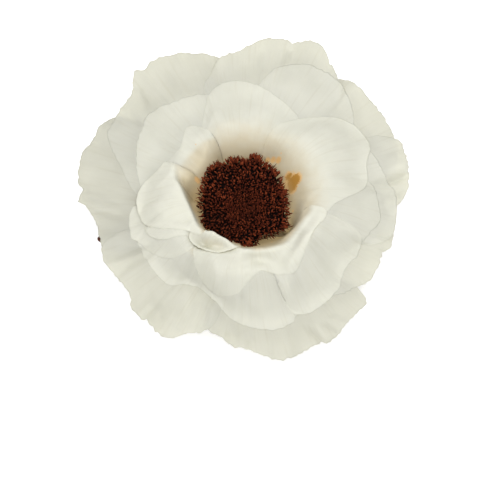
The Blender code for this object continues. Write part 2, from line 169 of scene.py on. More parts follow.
# %% The middle petals
middle_petals = whorl(
    MIDDLE,
    bottom_left=dict(
        crest=22.0, ledge=17.0, ease=2.4, fall=0.36,
        rim=((186, 16), (192, 23), (196.6, 24.9), (205.5, 24.6), (215.1, 24.3), (224.1, 23.8),
             (231.6, 21.1), (240.8, 19.9), (250.7, 20.7), (253.5, 20.2), (256, 18.6), (258, 14))),
    bottom=dict(
        crest=21.8, ledge=16.6, ease=2.4, fall=0.36, phase=0.3,
        rim=((246, 16), (250, 21), (252.7, 21.2), (259.2, 23.1), (265.9, 25.1), (278.2, 27.1), (287.3, 28),
             (294.6, 27.5), (297, 26.5), (301, 26), (304, 18))),
    right=dict(
        crest=20.8, fall=0.16, phase=0.6, wave=0.6,
        rim=((-17, 22), (-15, 30), (-7.5, 34.6), (-0.8, 35), (6.7, 35.2), (12.1, 33.7), (17.2, 33),
             (20.7, 32.8), (25.8, 31.9), (30, 29), (33, 20))),
    top_right=dict(
        crest=21.8, fall=0.12, phase=0.2,
        rim=((30, 22), (34, 29.5), (43.4, 34.7), (47.9, 36.3), (52.3, 37.4), (58.3, 38.1), (65, 37.9),
             (70, 36.8), (75.9, 34.8), (79, 32.5), (82.3, 29.2), (87, 24), (90, 16))),
    top_left=dict(
        crest=21.6, ledge=18.0, fall=0.16, phase=0.7,
        rim=((100, 16), (103, 24), (107.8, 28.6), (114.6, 29.3), (124.9, 30.3), (131.4, 31.5),
             (134.7, 31.7), (139.8, 30.2), (145.9, 29.1), (154.4, 27), (161.1, 25.4), (171, 22),
             (175, 15))),
    right_low=dict(
        crest=22.8, ledge=19.0, fall=0.24, phase=0.4,
        rim=((-34, 17), (-22, 26), (-10.5, 29.2), (-3.4, 31.3), (2.6, 30.8), (8.1, 30.4), (12.1, 29.5),
             (14, 25), (16, 16))),
    bottom_right=dict(
        tone=0.995, crest=23.2, ledge=18.0, ease=2.4, fall=0.32, phase=0.1,
        rim=((292, 18), (296, 26), (304.6, 27.7), (310.1, 27.9), (319.8, 28), (327, 26.9), (331, 26.7),
             (340, 27.9), (345.2, 27.9), (348, 26.6), (350, 22.5), (352, 17))),
)
print("middle petals:", len(middle_petals))

# %% [markdown]
# ## The inner whorl
#
# Eight petals close round the centre. Their walls end at a ledge, the bright line where the petal bends
# outwards, and on four of them a painted highlight runs along it. At the lower left two of them are folded
# small, one inside the other, against the stamens.

# %% The inner petals
inner_petals = whorl(
    INNER,
    left_low=dict(
        crest=22.8, throat=8.6, ledge=15.0, ease=2.4, fall=0.12,
        rim=((172, 16), (176, 22), (177.4, 24.9), (184.5, 26), (194.1, 26.1), (196.7, 24.9), (212, 21),
             (222, 17), (226, 13))),
    top=dict(
        crest=23.4, throat=7.4, ledge=21.5, ease=3.2, fall=0.1,
        rim=((44, 15), (50, 20.5), (57.7, 23.6), (68.1, 25.6), (74.2, 26.8), (82.2, 28.6), (86.9, 29.4),
             (93.5, 30.2), (100.2, 29.9), (105.5, 28.3), (112.7, 23.2), (119, 19.5), (131, 15.9),
             (135, 12))),
    top_left=dict(
        brim=1.6, crest=23.8, throat=8.0, ledge=17.0, ease=3.0,
        rim=((112, 14), (114, 18), (118.2, 20.6), (120.9, 21.8), (124.8, 22.3), (131.4, 20.5),
             (139.1, 19.1), (147, 19.3), (152.4, 20.5), (166, 16), (172, 12))),
    right=dict(
        tone=1.025, settle=0.97, crest=24.8, throat=7.4, ledge=21.5, ease=3.2,
        rim=((-34, 13), (-31.5, 16.4), (-25.1, 17.2), (-10.8, 18.6), (-2.2, 20.6), (3, 23.4), (6.6, 26.4),
             (10, 28.3), (14.4, 29.3), (18.8, 29.7), (23.2, 31), (26.1, 32.4), (30.3, 32.9), (36.1, 32.7),
             (42.4, 31.3), (46.4, 29.4), (50.5, 26.6), (58.7, 22.6), (65.1, 19.8), (68.8, 17), (70.6, 13.4),
             (71.6, 9))),
    bottom=dict(
        brim=1.6, crest=23.3, throat=5.6, ease=1.25, fall=0.3, droop=0.0, wave=0.2, tone=1.03, stain=0.4,
        ledge_highlight=0.06, widening=0.84,
        ledge=((236, 11.2), (258, 11.0), (269, 11.5), (280, 12.0), (290, 12.6), (300, 13.3), (309, 13.9),
               (316, 14.2), (322, 14.2), (328, 14.2), (334.5, 14.4), (342, 15.0), (350, 16.2)),
        rim=((221, 12), (224, 15.2), (229, 16.8), (233, 17.6), (237.9, 18.2), (248.1, 19.6), (258.7, 20.2),
             (265.1, 20.2), (274, 18.2), (284.5, 16.5), (290.5, 17.3), (298.1, 18.7), (305.7, 19.8),
             (312.8, 19.0), (322.6, 17.8), (334.5, 17.3), (341.4, 17.9), (346.3, 18.8), (350.7, 19.0),
             (354, 18.2), (356, 15.5))),
    fold_outer=dict(
        tone=1.06, settle=0.90, brim=0.9, ledge_highlight=0.04, crest=23.4, throat=8.8, ledge=13.0, ease=1.6,
        fall=0.15, wave=0.1,
        rim=((189, 15), (190.8, 21), (192.2, 22.6), (195.5, 22.4), (201.4, 20.7), (206, 18.7),
             (211.1, 15.9), (216, 14.2), (224, 13.6), (236, 12))),
    fold_inner=dict(
        settle=0.72, brim=0.9, ledge_highlight=0.06, crest=24.4, throat=8.6, ease=1.6, fall=0.2, wave=0.1,
        ledge=((206, 12.0), (214, 12.0), (222, 11.2), (230, 10.2), (246, 10.1), (256, 10.7), (263, 11.4)),
        rim=((206, 11), (212, 13.8), (215.6, 14.7), (218.8, 14.9), (227.4, 14.3), (237.8, 13.7),
             (245, 13.2), (252, 12.4), (259, 11.6), (265, 10.9), (268, 10.5))),
    left=dict(
        tone=1.06, settle=0.93, brim=1.8, ledge_highlight=0.03, crest=25.4, throat=9.2, ease=1.1, fall=0.05, wave=0.2,
        stain=1.0,
        ledge=((152, 18.0), (164, 15.8), (170, 14.3), (178, 13.3), (190, 12.3), (204, 11.9), (219, 12.2)),
        rim=((150, 15), (150.7, 20.1), (156.3, 20.9), (161.2, 22.2), (165.6, 23.5), (170.1, 24.1),
             (174.5, 24.3), (180.2, 23.9), (185.4, 23.3), (190.7, 22.3), (198.2, 19.4), (203.2, 17),
             (207.6, 15.1), (212, 13.9), (216, 13.1), (219, 12.5), (221, 11.6))),
)
PETALS = outer_petals + middle_petals + inner_petals
print("petals in all:", len(PETALS))

# %% [markdown]
# ## A smooth line through measured places
#
# The rims and ledges are only a dozen places each. A straight join would show corners, and a plain spline
# would swing past the nicks. A cubic whose slope is flat wherever the values turn keeps each nick where it
# is.

# %% Curves through places
def through(places, angle):
    """Value at an angle of a curve through (angle, value) places, held level past its ends.

    Each piece is the cubic a + b t + c t^2 + d t^3 that meets its two places. The slope at a place is the
    harmonic mean of the two chords beside it, or 0 where they differ in sign.
    """
    at, value = np.array(places, dtype=float).T
    step = np.diff(at)
    chord = np.diff(value) / step
    product = chord[:-1] * chord[1:]
    total = np.where(product > 0, chord[:-1] + chord[1:], 1.0)
    slope = np.concatenate([chord[:1], np.where(product > 0, 2 * product / total, 0.0), chord[-1:]])
    piece = np.clip(np.searchsorted(at, angle) - 1, 0, len(step) - 1)
    t = np.clip((angle - at[piece]) / step[piece], 0.0, 1.0)
    rise = value[piece + 1] - value[piece]
    start, end = slope[piece] * step[piece], slope[piece + 1] * step[piece]
    return value[piece] + t * start + t**2 * (3 * rise - 2 * start - end) + t**3 * (start + end - 2 * rise)


def smoothstep(value):
    """0 below 0, 1 above 1, and 3 t^2 - 2 t^3 between."""
    t = np.clip(value, 0.0, 1.0)
    return t * t * (3 - 2 * t)


def span(petal):
    """Azimuth of the petal's middle and half the angle it spans, in degrees."""
    low, high = petal.rim[0][0], petal.rim[-1][0]
    return (low + high) / 2, (high - low) / 2


def near_petal(petal, azimuth):
    """The azimuth in degrees, turned by whole turns to lie within 180 of the petal's middle."""
    middle, _ = span(petal)
    return (azimuth - middle + 180) % 360 - 180 + middle


def ledge_radius(petal, azimuth):
    """Radius where the wall ends: one value, or a curve through the measured places."""
    return through(petal.ledge, azimuth) if isinstance(petal.ledge, tuple) else petal.ledge + 0 * azimuth


right = inner_petals[3]
print("inner right petal: middle and half span", span(right), "reach at 30 degrees",
      round(float(through(right.rim, 30.0)), 2))

# %% [markdown]
# ## Laying the petals down
#
# In a real bud the petals grow past each other and never cross. Cloth simulation could find how they rest,
# but 23 thin sheets in contact are slow and never settle twice alike. Heights over a plan do the same at
# once: each petal keeps its own height, unless the petals below push it up, and its free rim sinks back
# towards them.

# %% The plan and the petal's own height
CLAW_START, CLAW_HEIGHT = 4.8, 6.6  # radius and height where every petal starts
SHOULDER, SHOULDER_EDGE = 5.9, 7.6  # height of the calyx's shoulder, and the radius where it ends
LEAST_REACH = 13  # a petal's length is never taken to be shorter
WALL_ONSET = 0.4  # how softly the wall starts at the throat
RIM_WAVES = 1.5  # slow waves along a rim
LAYER, CONTACT = 0.62, 0.15  # clearance under a lying petal and under an edge that has sunk
REST_BLEND = 0.9  # how softly a petal leaves what it rests on
SLIDE_OFF = 0.42  # slope beside a petal, down which the next one can bend
CELL, HALF_PLAN = 0.3, 43.5  # step and half width of the plan
steps = np.arange(-HALF_PLAN, HALF_PLAN + CELL / 2, CELL)
plan_x, plan_y = np.meshgrid(steps, steps, indexing="ij")
plan_radius = np.hypot(plan_x, plan_y)
plan_azimuth = np.degrees(np.arctan2(plan_y, plan_x))


def reach_share(petal, radius, angle):
    """How far out a place is: 0 where the claw starts and 1 at the rim."""
    reach = np.maximum(through(petal.rim, angle), LEAST_REACH)
    return np.clip((radius - CLAW_START) / (reach - CLAW_START), 0, 1.15)


def own_height(petal, radius, azimuth):
    """Height of the petal alone.

    The wall eases from the throat to the crest as 1 - (1 - climb)^ease. Then the run out falls evenly, droops
    with the fourth power of the way to the rim, cups with the square across, and waves near the rim.
    """
    angle = near_petal(petal, azimuth)
    middle, half = span(petal)
    across = np.clip((angle - middle) / half, -1.25, 1.25)
    along = reach_share(petal, radius, angle)
    ledge = ledge_radius(petal, angle)
    climb = WALL_ONSET * np.logaddexp(0, (radius - petal.throat) / WALL_ONSET) / (ledge - petal.throat)
    height = CLAW_HEIGHT + (petal.crest - CLAW_HEIGHT) * (1 - np.maximum(1 - climb, 0) ** petal.ease)
    height = height - petal.fall * np.maximum(radius - ledge, 0) - petal.droop * along**4
    height = height + petal.cup * across**2 * along**2
    return height + petal.wave * np.sin(TAU * (RIM_WAVES * across / 2 + petal.phase)) * along**3


def outside(petal, radius, azimuth):
    """How far a place lies outside the petal, in mm, past its rim or beside its sides; less than 0 on it."""
    angle = near_petal(petal, azimuth)
    middle, half = span(petal)
    reach = through(petal.rim, angle)
    widest = petal.widening * np.median([r for _, r in petal.rim])
    share = smoothstep((radius - CLAW_START) / (widest - CLAW_START))
    width = petal.claw_angle + (half - petal.claw_angle) * share
    beside = np.radians(np.abs(angle - middle) - width) * radius
    return np.maximum(beside, radius - reach)


# %% [markdown]
# ## Pleats, ruffles and folds
#
# The petals were soft when they dried. Fine pleats follow the veins, the rims ruffle, and a few folds stand
# out in the photograph. Pleats and ruffles are sums of sines with a fixed random start for each petal, and
# each fold is a narrow groove between two measured places.

# %% Relief
# Each petal's folds: azimuth and radius of one end, then of the other, width and depth, in degrees and mm.
# A depth below 0 makes a raised fold. A fold's depth also paints shade in it, and light on a raised one.
FOLDS = {
    "petal_outer_left": ((175, 37.0, 178, 27.0, 0.55, 0.45), (178, 35.0, 182, 27.0, 0.50, -0.40),
        (181, 34.0, 185, 26.0, 0.60, 0.40), (171, 37.0, 176, 30.0, 0.50, 0.30)),
    "petal_outer_bottom_left": ((222, 33.5, 224, 28.0, 0.45, 0.45), (226, 33.6, 226, 29.0, 0.45, -0.40),
        (229, 33.0, 228, 27.0, 0.45, 0.45), (-139.5, 27.6, -124.6, 30.9, 1.00, 0.40),
        (-126.1, 22.2, -115.1, 28.1, 1.20, -0.30)),
    "petal_outer_bottom": ((301, 34.8, 298, 29.0, 0.55, 0.60), (304, 35.0, 302, 30.0, 0.60, -0.45),
        (308, 35.0, 305, 30.5, 0.45, 0.50), (313, 34.5, 309, 30.0, 0.50, 0.35),
        (-98.5, 27.3, -82.0, 30.8, 1.20, 0.35)),
    "petal_outer_right": ((13, 38.4, 10, 32.0, 0.50, 0.45), (17, 39.0, 14, 33.0, 0.60, -0.40),
        (7, 37.2, 6, 32.0, 0.50, 0.40), (22, 39.0, 20, 34.0, 0.50, 0.40),
        (22.1, 38.3, 21.4, 34.2, 0.50, 0.45), (16.3, 38.6, 16.5, 33.8, 0.60, -0.40)),
    "petal_middle_right": ((13, 32.0, 5, 28.0, 0.50, 0.35), (4, 34.0, -1, 29.0, 0.55, -0.35)),
    "petal_outer_top": ((74, 40.3, 76, 34.0, 0.50, 0.40), (83.5, 38.8, 83.7, 31.4, 0.90, 0.30),
        (74.3, 40.1, 74.3, 35.7, 0.60, 0.35)),
    "petal_outer_top_left": ((129, 38.6, 131, 33.0, 0.55, 0.45), (136, 36.6, 139, 30.0, 0.70, 0.35),
        (117.1, 39.5, 118.9, 30.9, 0.90, 0.30), (130.3, 40.3, 132.3, 31.7, 0.90, 0.30)),
    "petal_middle_top_left": ((140, 28.6, 142, 21.0, 0.70, 0.30),),
    "petal_inner_top_left": ((134, 18.0, 132, 13.0, 0.45, 0.30), (139, 19.0, 136, 13.0, 0.45, -0.30),
        (145, 19.0, 141, 13.0, 0.50, 0.30)),
    "petal_inner_right": ((8, 17.0, 12, 11.5, 0.45, 0.30), (0, 16.0, 6, 11.5, 0.45, -0.25),
        (-7, 16.5, -2, 11.5, 0.50, 0.30)),
    "petal_inner_fold_inner": ((-125.8, 13.5, -126.5, 12.2, 0.40, 0.30),
        (-126.5, 12.0, -113.0, 11.1, 0.45, 0.35), (-114.0, 11.2, -101.0, 12.0, 0.45, 0.35)),
    "petal_inner_fold_outer": ((-158.8, 20.9, -143.8, 15.9, 0.60, -0.30),),
    "petal_inner_bottom": ((-97.5, 12.9, -71.0, 17.1, 1.10, -0.30), (-22.4, 16.2, -38.9, 17.2, 0.80, -0.40),
        (-34.2, 14.8, -53.9, 17.7, 1.00, 0.35), (-116.2, 15.5, -101.1, 19.3, 0.80, 0.12)),
    "petal_middle_bottom_left": ((-141.3, 20.9, -116.7, 19.3, 0.90, 0.35),),
    "petal_middle_bottom": ((-95.1, 19.6, -80.2, 25.0, 0.90, 0.35),),
    "petal_middle_bottom_right": ((-54.7, 19.0, -56.3, 26.9, 0.90, 0.40),),
    "petal_inner_left": ((-168.4, 21.0, -151.3, 14.6, 1.30, 0.35),),
    "petal_middle_right_low": ((-34.2, 16.7, -14.0, 24.6, 0.80, 0.15),
        (-21.6, 16.1, -7.5, 27.4, 0.80, -0.12)),
    "petal_outer_right_lower": ((-9.8, 32.9, -10.2, 27.4, 0.50, 0.45),
        (-16.4, 32.3, -15.7, 27.5, 0.60, -0.35)),
}


def place(azimuth, radius):
    """The point at an azimuth in degrees and a radius, in plan."""
    return np.array([radius * math.cos(math.radians(azimuth)), radius * math.sin(math.radians(azimuth))])


def groove(x, y, azimuth, radius, end_azimuth, end_radius, width, depth):
    """A groove along a line: depth times a bell curve of the distance from it, fading towards both ends."""
    start = place(azimuth, radius)
    run = place(end_azimuth, end_radius) - start
    length = np.hypot(*run)
    along = ((x - start[0]) * run[0] + (y - start[1]) * run[1]) / length**2
    aside = ((x - start[0]) * run[1] - (y - start[1]) * run[0]) / length
    fade = smoothstep((along + 0.12) / 0.3) * smoothstep((1.1 - along) / 0.5)
    return -depth * np.exp(-((aside / width) ** 2)) * fade


def sines(draw, across, along, count, low, high, slant):
    """A sum of count sines across the petal, between low and high cycles, each a little slanted."""
    total = np.zeros_like(across)
    for cycles, lean, start in zip(draw.uniform(low, high, count), draw.normal(0, slant, count),
                                   draw.uniform(0, TAU, count)):
        total += np.sin(TAU * (cycles * across + lean * along) + start)
    return total / math.sqrt(count)


def folded(petal):
    """The petal's measured folds, as heights over the plan."""
    return sum((groove(plan_x, plan_y, *fold) for fold in FOLDS.get(petal.name, ())), 0 * plan_x)


def relief(petal, seed):
    """Height added over the plan: pleats along the veins, dimples, a ruffled rim, and the measured folds."""
    draw = np.random.default_rng(seed)
    angle = near_petal(petal, plan_azimuth)
    low, high = petal.rim[0][0], petal.rim[-1][0]
    across = np.clip((angle - low) / 70, -0.1, (high - low) / 70 + 0.1)
    along = reach_share(petal, plan_radius, angle)
    pleats = 0.05 * sines(draw, across, along, 6, 8, 17, 0.5) * smoothstep((along - 0.2) / 0.5)
    dimples = 0.07 * sines(draw, across, along, 5, 1.5, 4.5, 2.2) * smoothstep((along - 0.15) / 0.5)
    ruffle = petal.ruffle * sines(draw, across, along, 5, 3, 9, 0.6) * np.minimum(along, 1.03) ** 8
    return pleats + dimples + ruffle + folded(petal)


print("folds:", sum(map(len, FOLDS.values())), "on", len(FOLDS), "petals")

# %% [markdown]
# ## Laying one on the other
#
# A petal rests on the highest things under it, a little clear of them. Adding the clearance straight up
# would let two steep walls touch, so a ball is rolled over what lies below, and the petal rests on the
# ball's centre. Then its sides and its outer half sink back until their thin edge almost touches.

# %% Laying the petals
CLAW_END, SIDE_FADE = 0.26, 0.24  # shares of the way out over which the sides start to sink


def swell(height, distance):
    """The height of a ball's centre as it rolls over a height field.

    It is the largest, over the places within reach, of the height there plus the root of distance^2 less
    offset^2.
    """
    reach = int(distance / CELL)
    padded = np.pad(height, reach, mode="edge")
    rows, columns = height.shape
    swollen = height + distance
    for i in range(-reach, reach + 1):
        for j in range(-reach, reach + 1):
            rise = distance**2 - (i * i + j * j) * CELL**2
            if rise > 0:
                moved = padded[reach + i:reach + i + rows, reach + j:reach + j + columns]
                swollen = np.maximum(swollen, moved + math.sqrt(rise))
    return swollen


def rest(alone, below):
    """The larger of the two heights, rounded off over about REST_BLEND mm where they cross."""
    return (alone + below + np.sqrt((alone - below) ** 2 + REST_BLEND**2)) / 2


def spread(values, distance):
    """A field blurred by a bell curve of that width in mm, along x and then along y."""
    reach = int(2.5 * distance / CELL)
    bell = np.exp(-((np.arange(-reach, reach + 1) * CELL / distance) ** 2) / 2)
    bell /= bell.sum()
    values = values + 0.0
    for _ in range(2):
        values = np.apply_along_axis(np.convolve, 0, values, bell, mode="same").T
    return values


def lay_down(petals):
    """Height field of each petal, laid on those before it.

    Its own height is raised over the swollen surface below, and its relief is added. It then sinks by its
    settle times the larger of two shares: how much of the plan round a place is outside the petal, and how
    far the place is past the middle of its length. Beside the petal the surface falls away at a slope.
    """
    top = SHOULDER - SLIDE_OFF * np.maximum(plan_radius - SHOULDER_EDGE, 0)
    fields = {}
    for number, petal in enumerate(petals):
        alone = own_height(petal, plan_radius, plan_azimuth)
        height = rest(alone, swell(top, LAYER)) + relief(petal, 100 + number)
        along = reach_share(petal, plan_radius, near_petal(petal, plan_azimuth))
        past = outside(petal, plan_radius, plan_azimuth)
        near_side = 2 * (1 - spread(past < 0.1, petal.brim)) * smoothstep((along - CLAW_END) / SIDE_FADE)
        sink = petal.settle * np.clip(np.maximum(near_side, smoothstep((along - 0.5) / 0.5)), 0, 1)
        height = height - sink * np.clip(height - top - CONTACT, 0, petal.sink_most)
        top = np.maximum(top, height - SLIDE_OFF * np.maximum(past - 0.5, 0))
        fields[petal.name] = height
    return fields


fields = lay_down(PETALS)
for petal in PETALS[::4]:
    inside = outside(petal, plan_radius, plan_azimuth) < 0
    print(petal.name, "reaches", round(float(fields[petal.name][inside].max()), 1), "mm high")

# %% [markdown]
# ## How sheltered a petal is
#
# White petals light each other, so the shade beside an edge is faint and wide, and close to the edge it
# turns light again. Rendering that with light alone takes very many samples. So that shade is painted: each
# petal keeps how much of its surroundings the petals above it cover, the material darkens it by that, and a
# painted light lies close to the edge.

# %% Shelter
# Painted shade beside the edges of the petals above, and painted light close to them
SHELTER_SHADE, SHELTER_WIDTH = 0.14, 1.9
EDGE_GLOW, GLOW_WIDTH = 0.10, 0.5


def shelter_fields(petals):
    """Painted shade of each petal: where those above cover it, blurred by a wide bell less a share of a
    narrow one, which leaves painted light close to the edge.
    """
    covered = np.zeros_like(plan_x)
    sheltered = {}
    for petal in reversed(petals):
        glow = EDGE_GLOW / SHELTER_SHADE * spread(covered, GLOW_WIDTH)
        sheltered[petal.name] = spread(covered, SHELTER_WIDTH) - glow
        covered = np.maximum(covered, outside(petal, plan_radius, plan_azimuth) < 0)
    return sheltered


sheltered = shelter_fields(PETALS)
print("most sheltered petal:", max(sheltered, key=lambda name: sheltered[name].mean()))

# %% [markdown]
# ## From a height to a sheet
#
# A petal's veins fan out from its claw, and a mesh that follows them bends as the petal does. A square grid
# cut along the rim would leave steps. So the sheet is a grid of two parameters: across runs along the rim,
# and along runs from the claw to the rim. The height of each point is read from the plan.

# %% Reading a field, and the outline grid
def read_field(field, x, y):
    """Height at any place: bilinear between the four nodes of the plan round it."""
    row, column = (x + HALF_PLAN) / CELL, (y + HALF_PLAN) / CELL
    low, left = row.astype(int), column.astype(int)
    up, over = row - low, column - left
    near = field[low, left] * (1 - over) + field[low, left + 1] * over
    far = field[low + 1, left] * (1 - over) + field[low + 1, left + 1] * over
    return near * (1 - up) + far * up


def even_azimuths(petal, count):
    """Azimuths that step evenly along the length of the rim, from its clockwise end to the other."""
    fine = np.linspace(petal.rim[0][0], petal.rim[-1][0], 1200)
    reach = through(petal.rim, fine)
    x, y = reach * np.cos(np.radians(fine)), reach * np.sin(np.radians(fine))
    length = np.concatenate([[0], np.cumsum(np.hypot(np.diff(x), np.diff(y)))])
    return np.interp(np.linspace(0, length[-1], count), length, fine)


def plan_grid(petal, along, columns):
    """Radius and azimuth of every point of the sheet, claw first.

    A line of the fan runs out from its place at the claw and turns to its azimuth at the rim by a smoothstep
    that ends where the petal reaches its full width. Small teeth, a sum of sines, roughen the measured rim.
    """
    at_rim = even_azimuths(petal, columns)
    reach = through(petal.rim, at_rim)
    draw = np.random.default_rng(int(10 * reach.sum()))
    teeth = sines(draw, np.linspace(0, reach.mean() / 10, columns), 0, 7, 4, 14, 0)
    reach = reach + 0.35 * petal.ruffle * teeth * smoothstep(4 * np.sin(np.linspace(0, math.pi, columns)))
    middle, half = span(petal)
    at_claw = middle + petal.claw_angle * np.linspace(-1, 1, columns)
    out = CLAW_START + (reach - CLAW_START) * along[:, None]
    full = np.minimum(petal.widening * np.median(reach), reach)
    turn = smoothstep((out - CLAW_START) / (full - CLAW_START))
    return out, at_claw + (at_rim - at_claw) * turn


ALONG = np.linspace(0, 1, 80) ** 0.9
COLUMNS = 104
out, turned = plan_grid(PETALS[0], ALONG, COLUMNS)
print("sheet of", out.shape, "points, reaching", round(float(out.max()), 1), "mm")

# %% [markdown]
# ## Giving the sheet a thickness
#
# A petal is about a third of a millimetre thick and closed all round. A Solidify modifier would do, but a
# second layer along the normals is as short and gives the rim a thinner edge: the sheet tapers over its
# last millimetre, as a petal does. Three values kept at each point tell the material the painted light and
# shade of the petal there, whether it is on the wall of the throat, and how much stain it has.

# %% Closed sheets
SHEET = 0.30
# Painted light towards the rim of every petal
RIM_LIGHT = 0.03
# Painted shade in the folds and painted light on raised ones
FOLD_SHADE = 0.10  # for each millimetre of a fold's depth
# Width of the painted highlight along the ledge
LEDGE_HIGHLIGHT_WIDTH, WALL_FADE = 0.55, 1.6
STAIN_END, STAIN_FADE = 15.5, 4


def normals_of(points):
    """Unit normals of a grid of points: the cross product of its two gradients."""
    normal = np.cross(np.gradient(points, axis=0), np.gradient(points, axis=1))
    length = np.linalg.norm(normal, axis=-1, keepdims=True)
    normal = normal / np.maximum(length, 1e-9)
    return normal * np.sign(normal[..., 2:] + 1e-9)


def make_mesh(name, points, faces, uv=None, values=None, flat=0):
    """A mesh in metres from arrays, with a UV pair and named values at points. The last faces may be flat."""
    mesh = bpy.data.meshes.new(name)
    mesh.vertices.add(len(points))
    mesh.vertices.foreach_set("co", (points * MM).astype(np.float32).ravel())
    size = faces.shape[1]
    mesh.loops.add(faces.size)
    mesh.loops.foreach_set("vertex_index", faces.ravel().astype(np.int32))
    mesh.polygons.add(len(faces))
    mesh.polygons.foreach_set("loop_start", np.arange(0, faces.size, size, dtype=np.int32))
    mesh.polygons.foreach_set("use_smooth", np.arange(len(faces)) < len(faces) - flat)
    if uv is not None:
        mesh.uv_layers.new(name="veins").data.foreach_set("uv", uv[faces.ravel()].astype(np.float32).ravel())
    for label, numbers in (values or {}).items():
        mesh.attributes.new(label, "FLOAT", "POINT").data.foreach_set("value", numbers.astype(np.float32))
    mesh.update(calc_edges=True)
    mesh.validate()
    return mesh


def add_piece(name, mesh, material, node):
    """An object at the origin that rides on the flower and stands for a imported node."""
    mesh.materials.append(material)
    piece = bpy.data.objects.new(name, mesh)
    bpy.context.scene.collection.objects.link(piece)
    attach(piece, "root")
    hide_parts(node)


def grid_faces(rows, columns):
    """Quads of a grid of points numbered row by row."""
    corner = (np.arange(rows - 1)[:, None] * columns + np.arange(columns - 1)).ravel()
    return np.stack([corner, corner + columns, corner + columns + 1, corner + 1], axis=1)


def close_sheet(points, thickness):
    """Points and quads of a closed sheet: the grid moved half a thickness each way and joined round it."""
    rows, columns = points.shape[:2]
    shift = normals_of(points) * thickness[..., None] / 2
    both = np.concatenate([(points + shift).reshape(-1, 3), (points - shift).reshape(-1, 3)])
    count = rows * columns
    top = grid_faces(rows, columns)
    number = np.arange(count).reshape(rows, columns)
    border = np.concatenate([number[0, :-1], number[:-1, -1], number[-1, :0:-1], number[:0:-1, 0]])
    following = np.roll(border, -1)
    wall = np.stack([border, following, following + count, border + count], axis=1)
    return both, np.concatenate([top, top[:, ::-1] + count, wall])


def petal_mesh(petal):
    """The petal's closed sheet, with its place across and along the petal kept as UV.

    Its painted light and shade: its own tone, less the painted shade of the shelter, plus a painted lighter
    rim, a bell curve of painted light along the ledge, and the folds, painted dark where they are deep.
    """
    out, turned = plan_grid(petal, ALONG, COLUMNS)
    x, y = out * np.cos(np.radians(turned)), out * np.sin(np.radians(turned))
    across = np.linspace(0, 1, COLUMNS)[None, :] + 0 * out
    along = ALONG[:, None] + 0 * out
    z = read_field(fields[petal.name], x, y)
    edge = np.minimum(1 - along, np.minimum(across, 1 - across) * 2.5)
    thickness = SHEET * (0.45 + 0.55 * smoothstep(edge / 0.05))
    points, faces = close_sheet(np.stack([x, y, z], axis=-1), thickness)
    uv = np.tile(np.stack([across, along], axis=-1).reshape(-1, 2), (2, 1))
    inside = ledge_radius(petal, near_petal(petal, turned)) - out
    # painted shade of the shelter, taken off the petal's tone
    light = petal.tone - SHELTER_SHADE * read_field(sheltered[petal.name], x, y)
    # painted light, brighter over the last quarter of the way to the rim
    light = light + RIM_LIGHT * smoothstep(along * 4 - 3)
    # painted highlight along the ledge
    light = light + petal.ledge_highlight * np.exp(-((inside / LEDGE_HIGHLIGHT_WIDTH) ** 2))
    # painted shade in the folds, painted light where they rise
    light = light + FOLD_SHADE * read_field(folded(petal), x, y)
    wall = smoothstep(inside / WALL_FADE)
    stain = petal.stain * wall * smoothstep((STAIN_END - out) / STAIN_FADE)
    values = {"petal_painted_light": light, "on_wall": wall, "wall_stain": stain}
    values = {label: np.tile(numbers.ravel(), 2) for label, numbers in values.items()}
    border = 2 * (len(ALONG) + COLUMNS - 2)
    return make_mesh(petal.name, points, faces, uv, values, flat=border)


trial = petal_mesh(PETALS[0])
print("one petal has", len(trial.polygons), "quads")
bpy.data.meshes.remove(trial)

# %% [markdown]
# ## A small language for materials
#
# A material here is arithmetic on patterns: a mask times a colour, a noise minus a threshold. Dragging
# nodes about hides that, so one class wraps a socket and lets Python's operators add the Math nodes, and
# another keeps a material's tree and makes every other node.

# %% Sockets that do sums
class Signal:
    """A number in a shader, held as the output socket of some node."""

    def __init__(self, finish, socket):
        self.finish, self.socket = finish, socket

    def math(self, operation, *others):
        """A Math node of this signal and the others."""
        numbers = dict(enumerate((self, *others)))
        return self.finish.node("Math", {"operation": operation}, numbers)

    def __add__(self, other):
        return self.math("ADD", other)

    def __sub__(self, other):
        return self.math("SUBTRACT", other)

    def __mul__(self, other):
        return self.math("MULTIPLY", other)

    def __rsub__(self, other):
        return self.finish.node("Math", {"operation": "SUBTRACT"}, {0: other, 1: self})

    __radd__, __rmul__ = __add__, __mul__

    def between(self, low, high):
        """0 at low and 1 at high, smoothly."""
        sockets = {"Value": self, "From Min": low, "From Max": high}
        return self.finish.node("MapRange", {"interpolation_type": "SMOOTHSTEP"}, sockets)


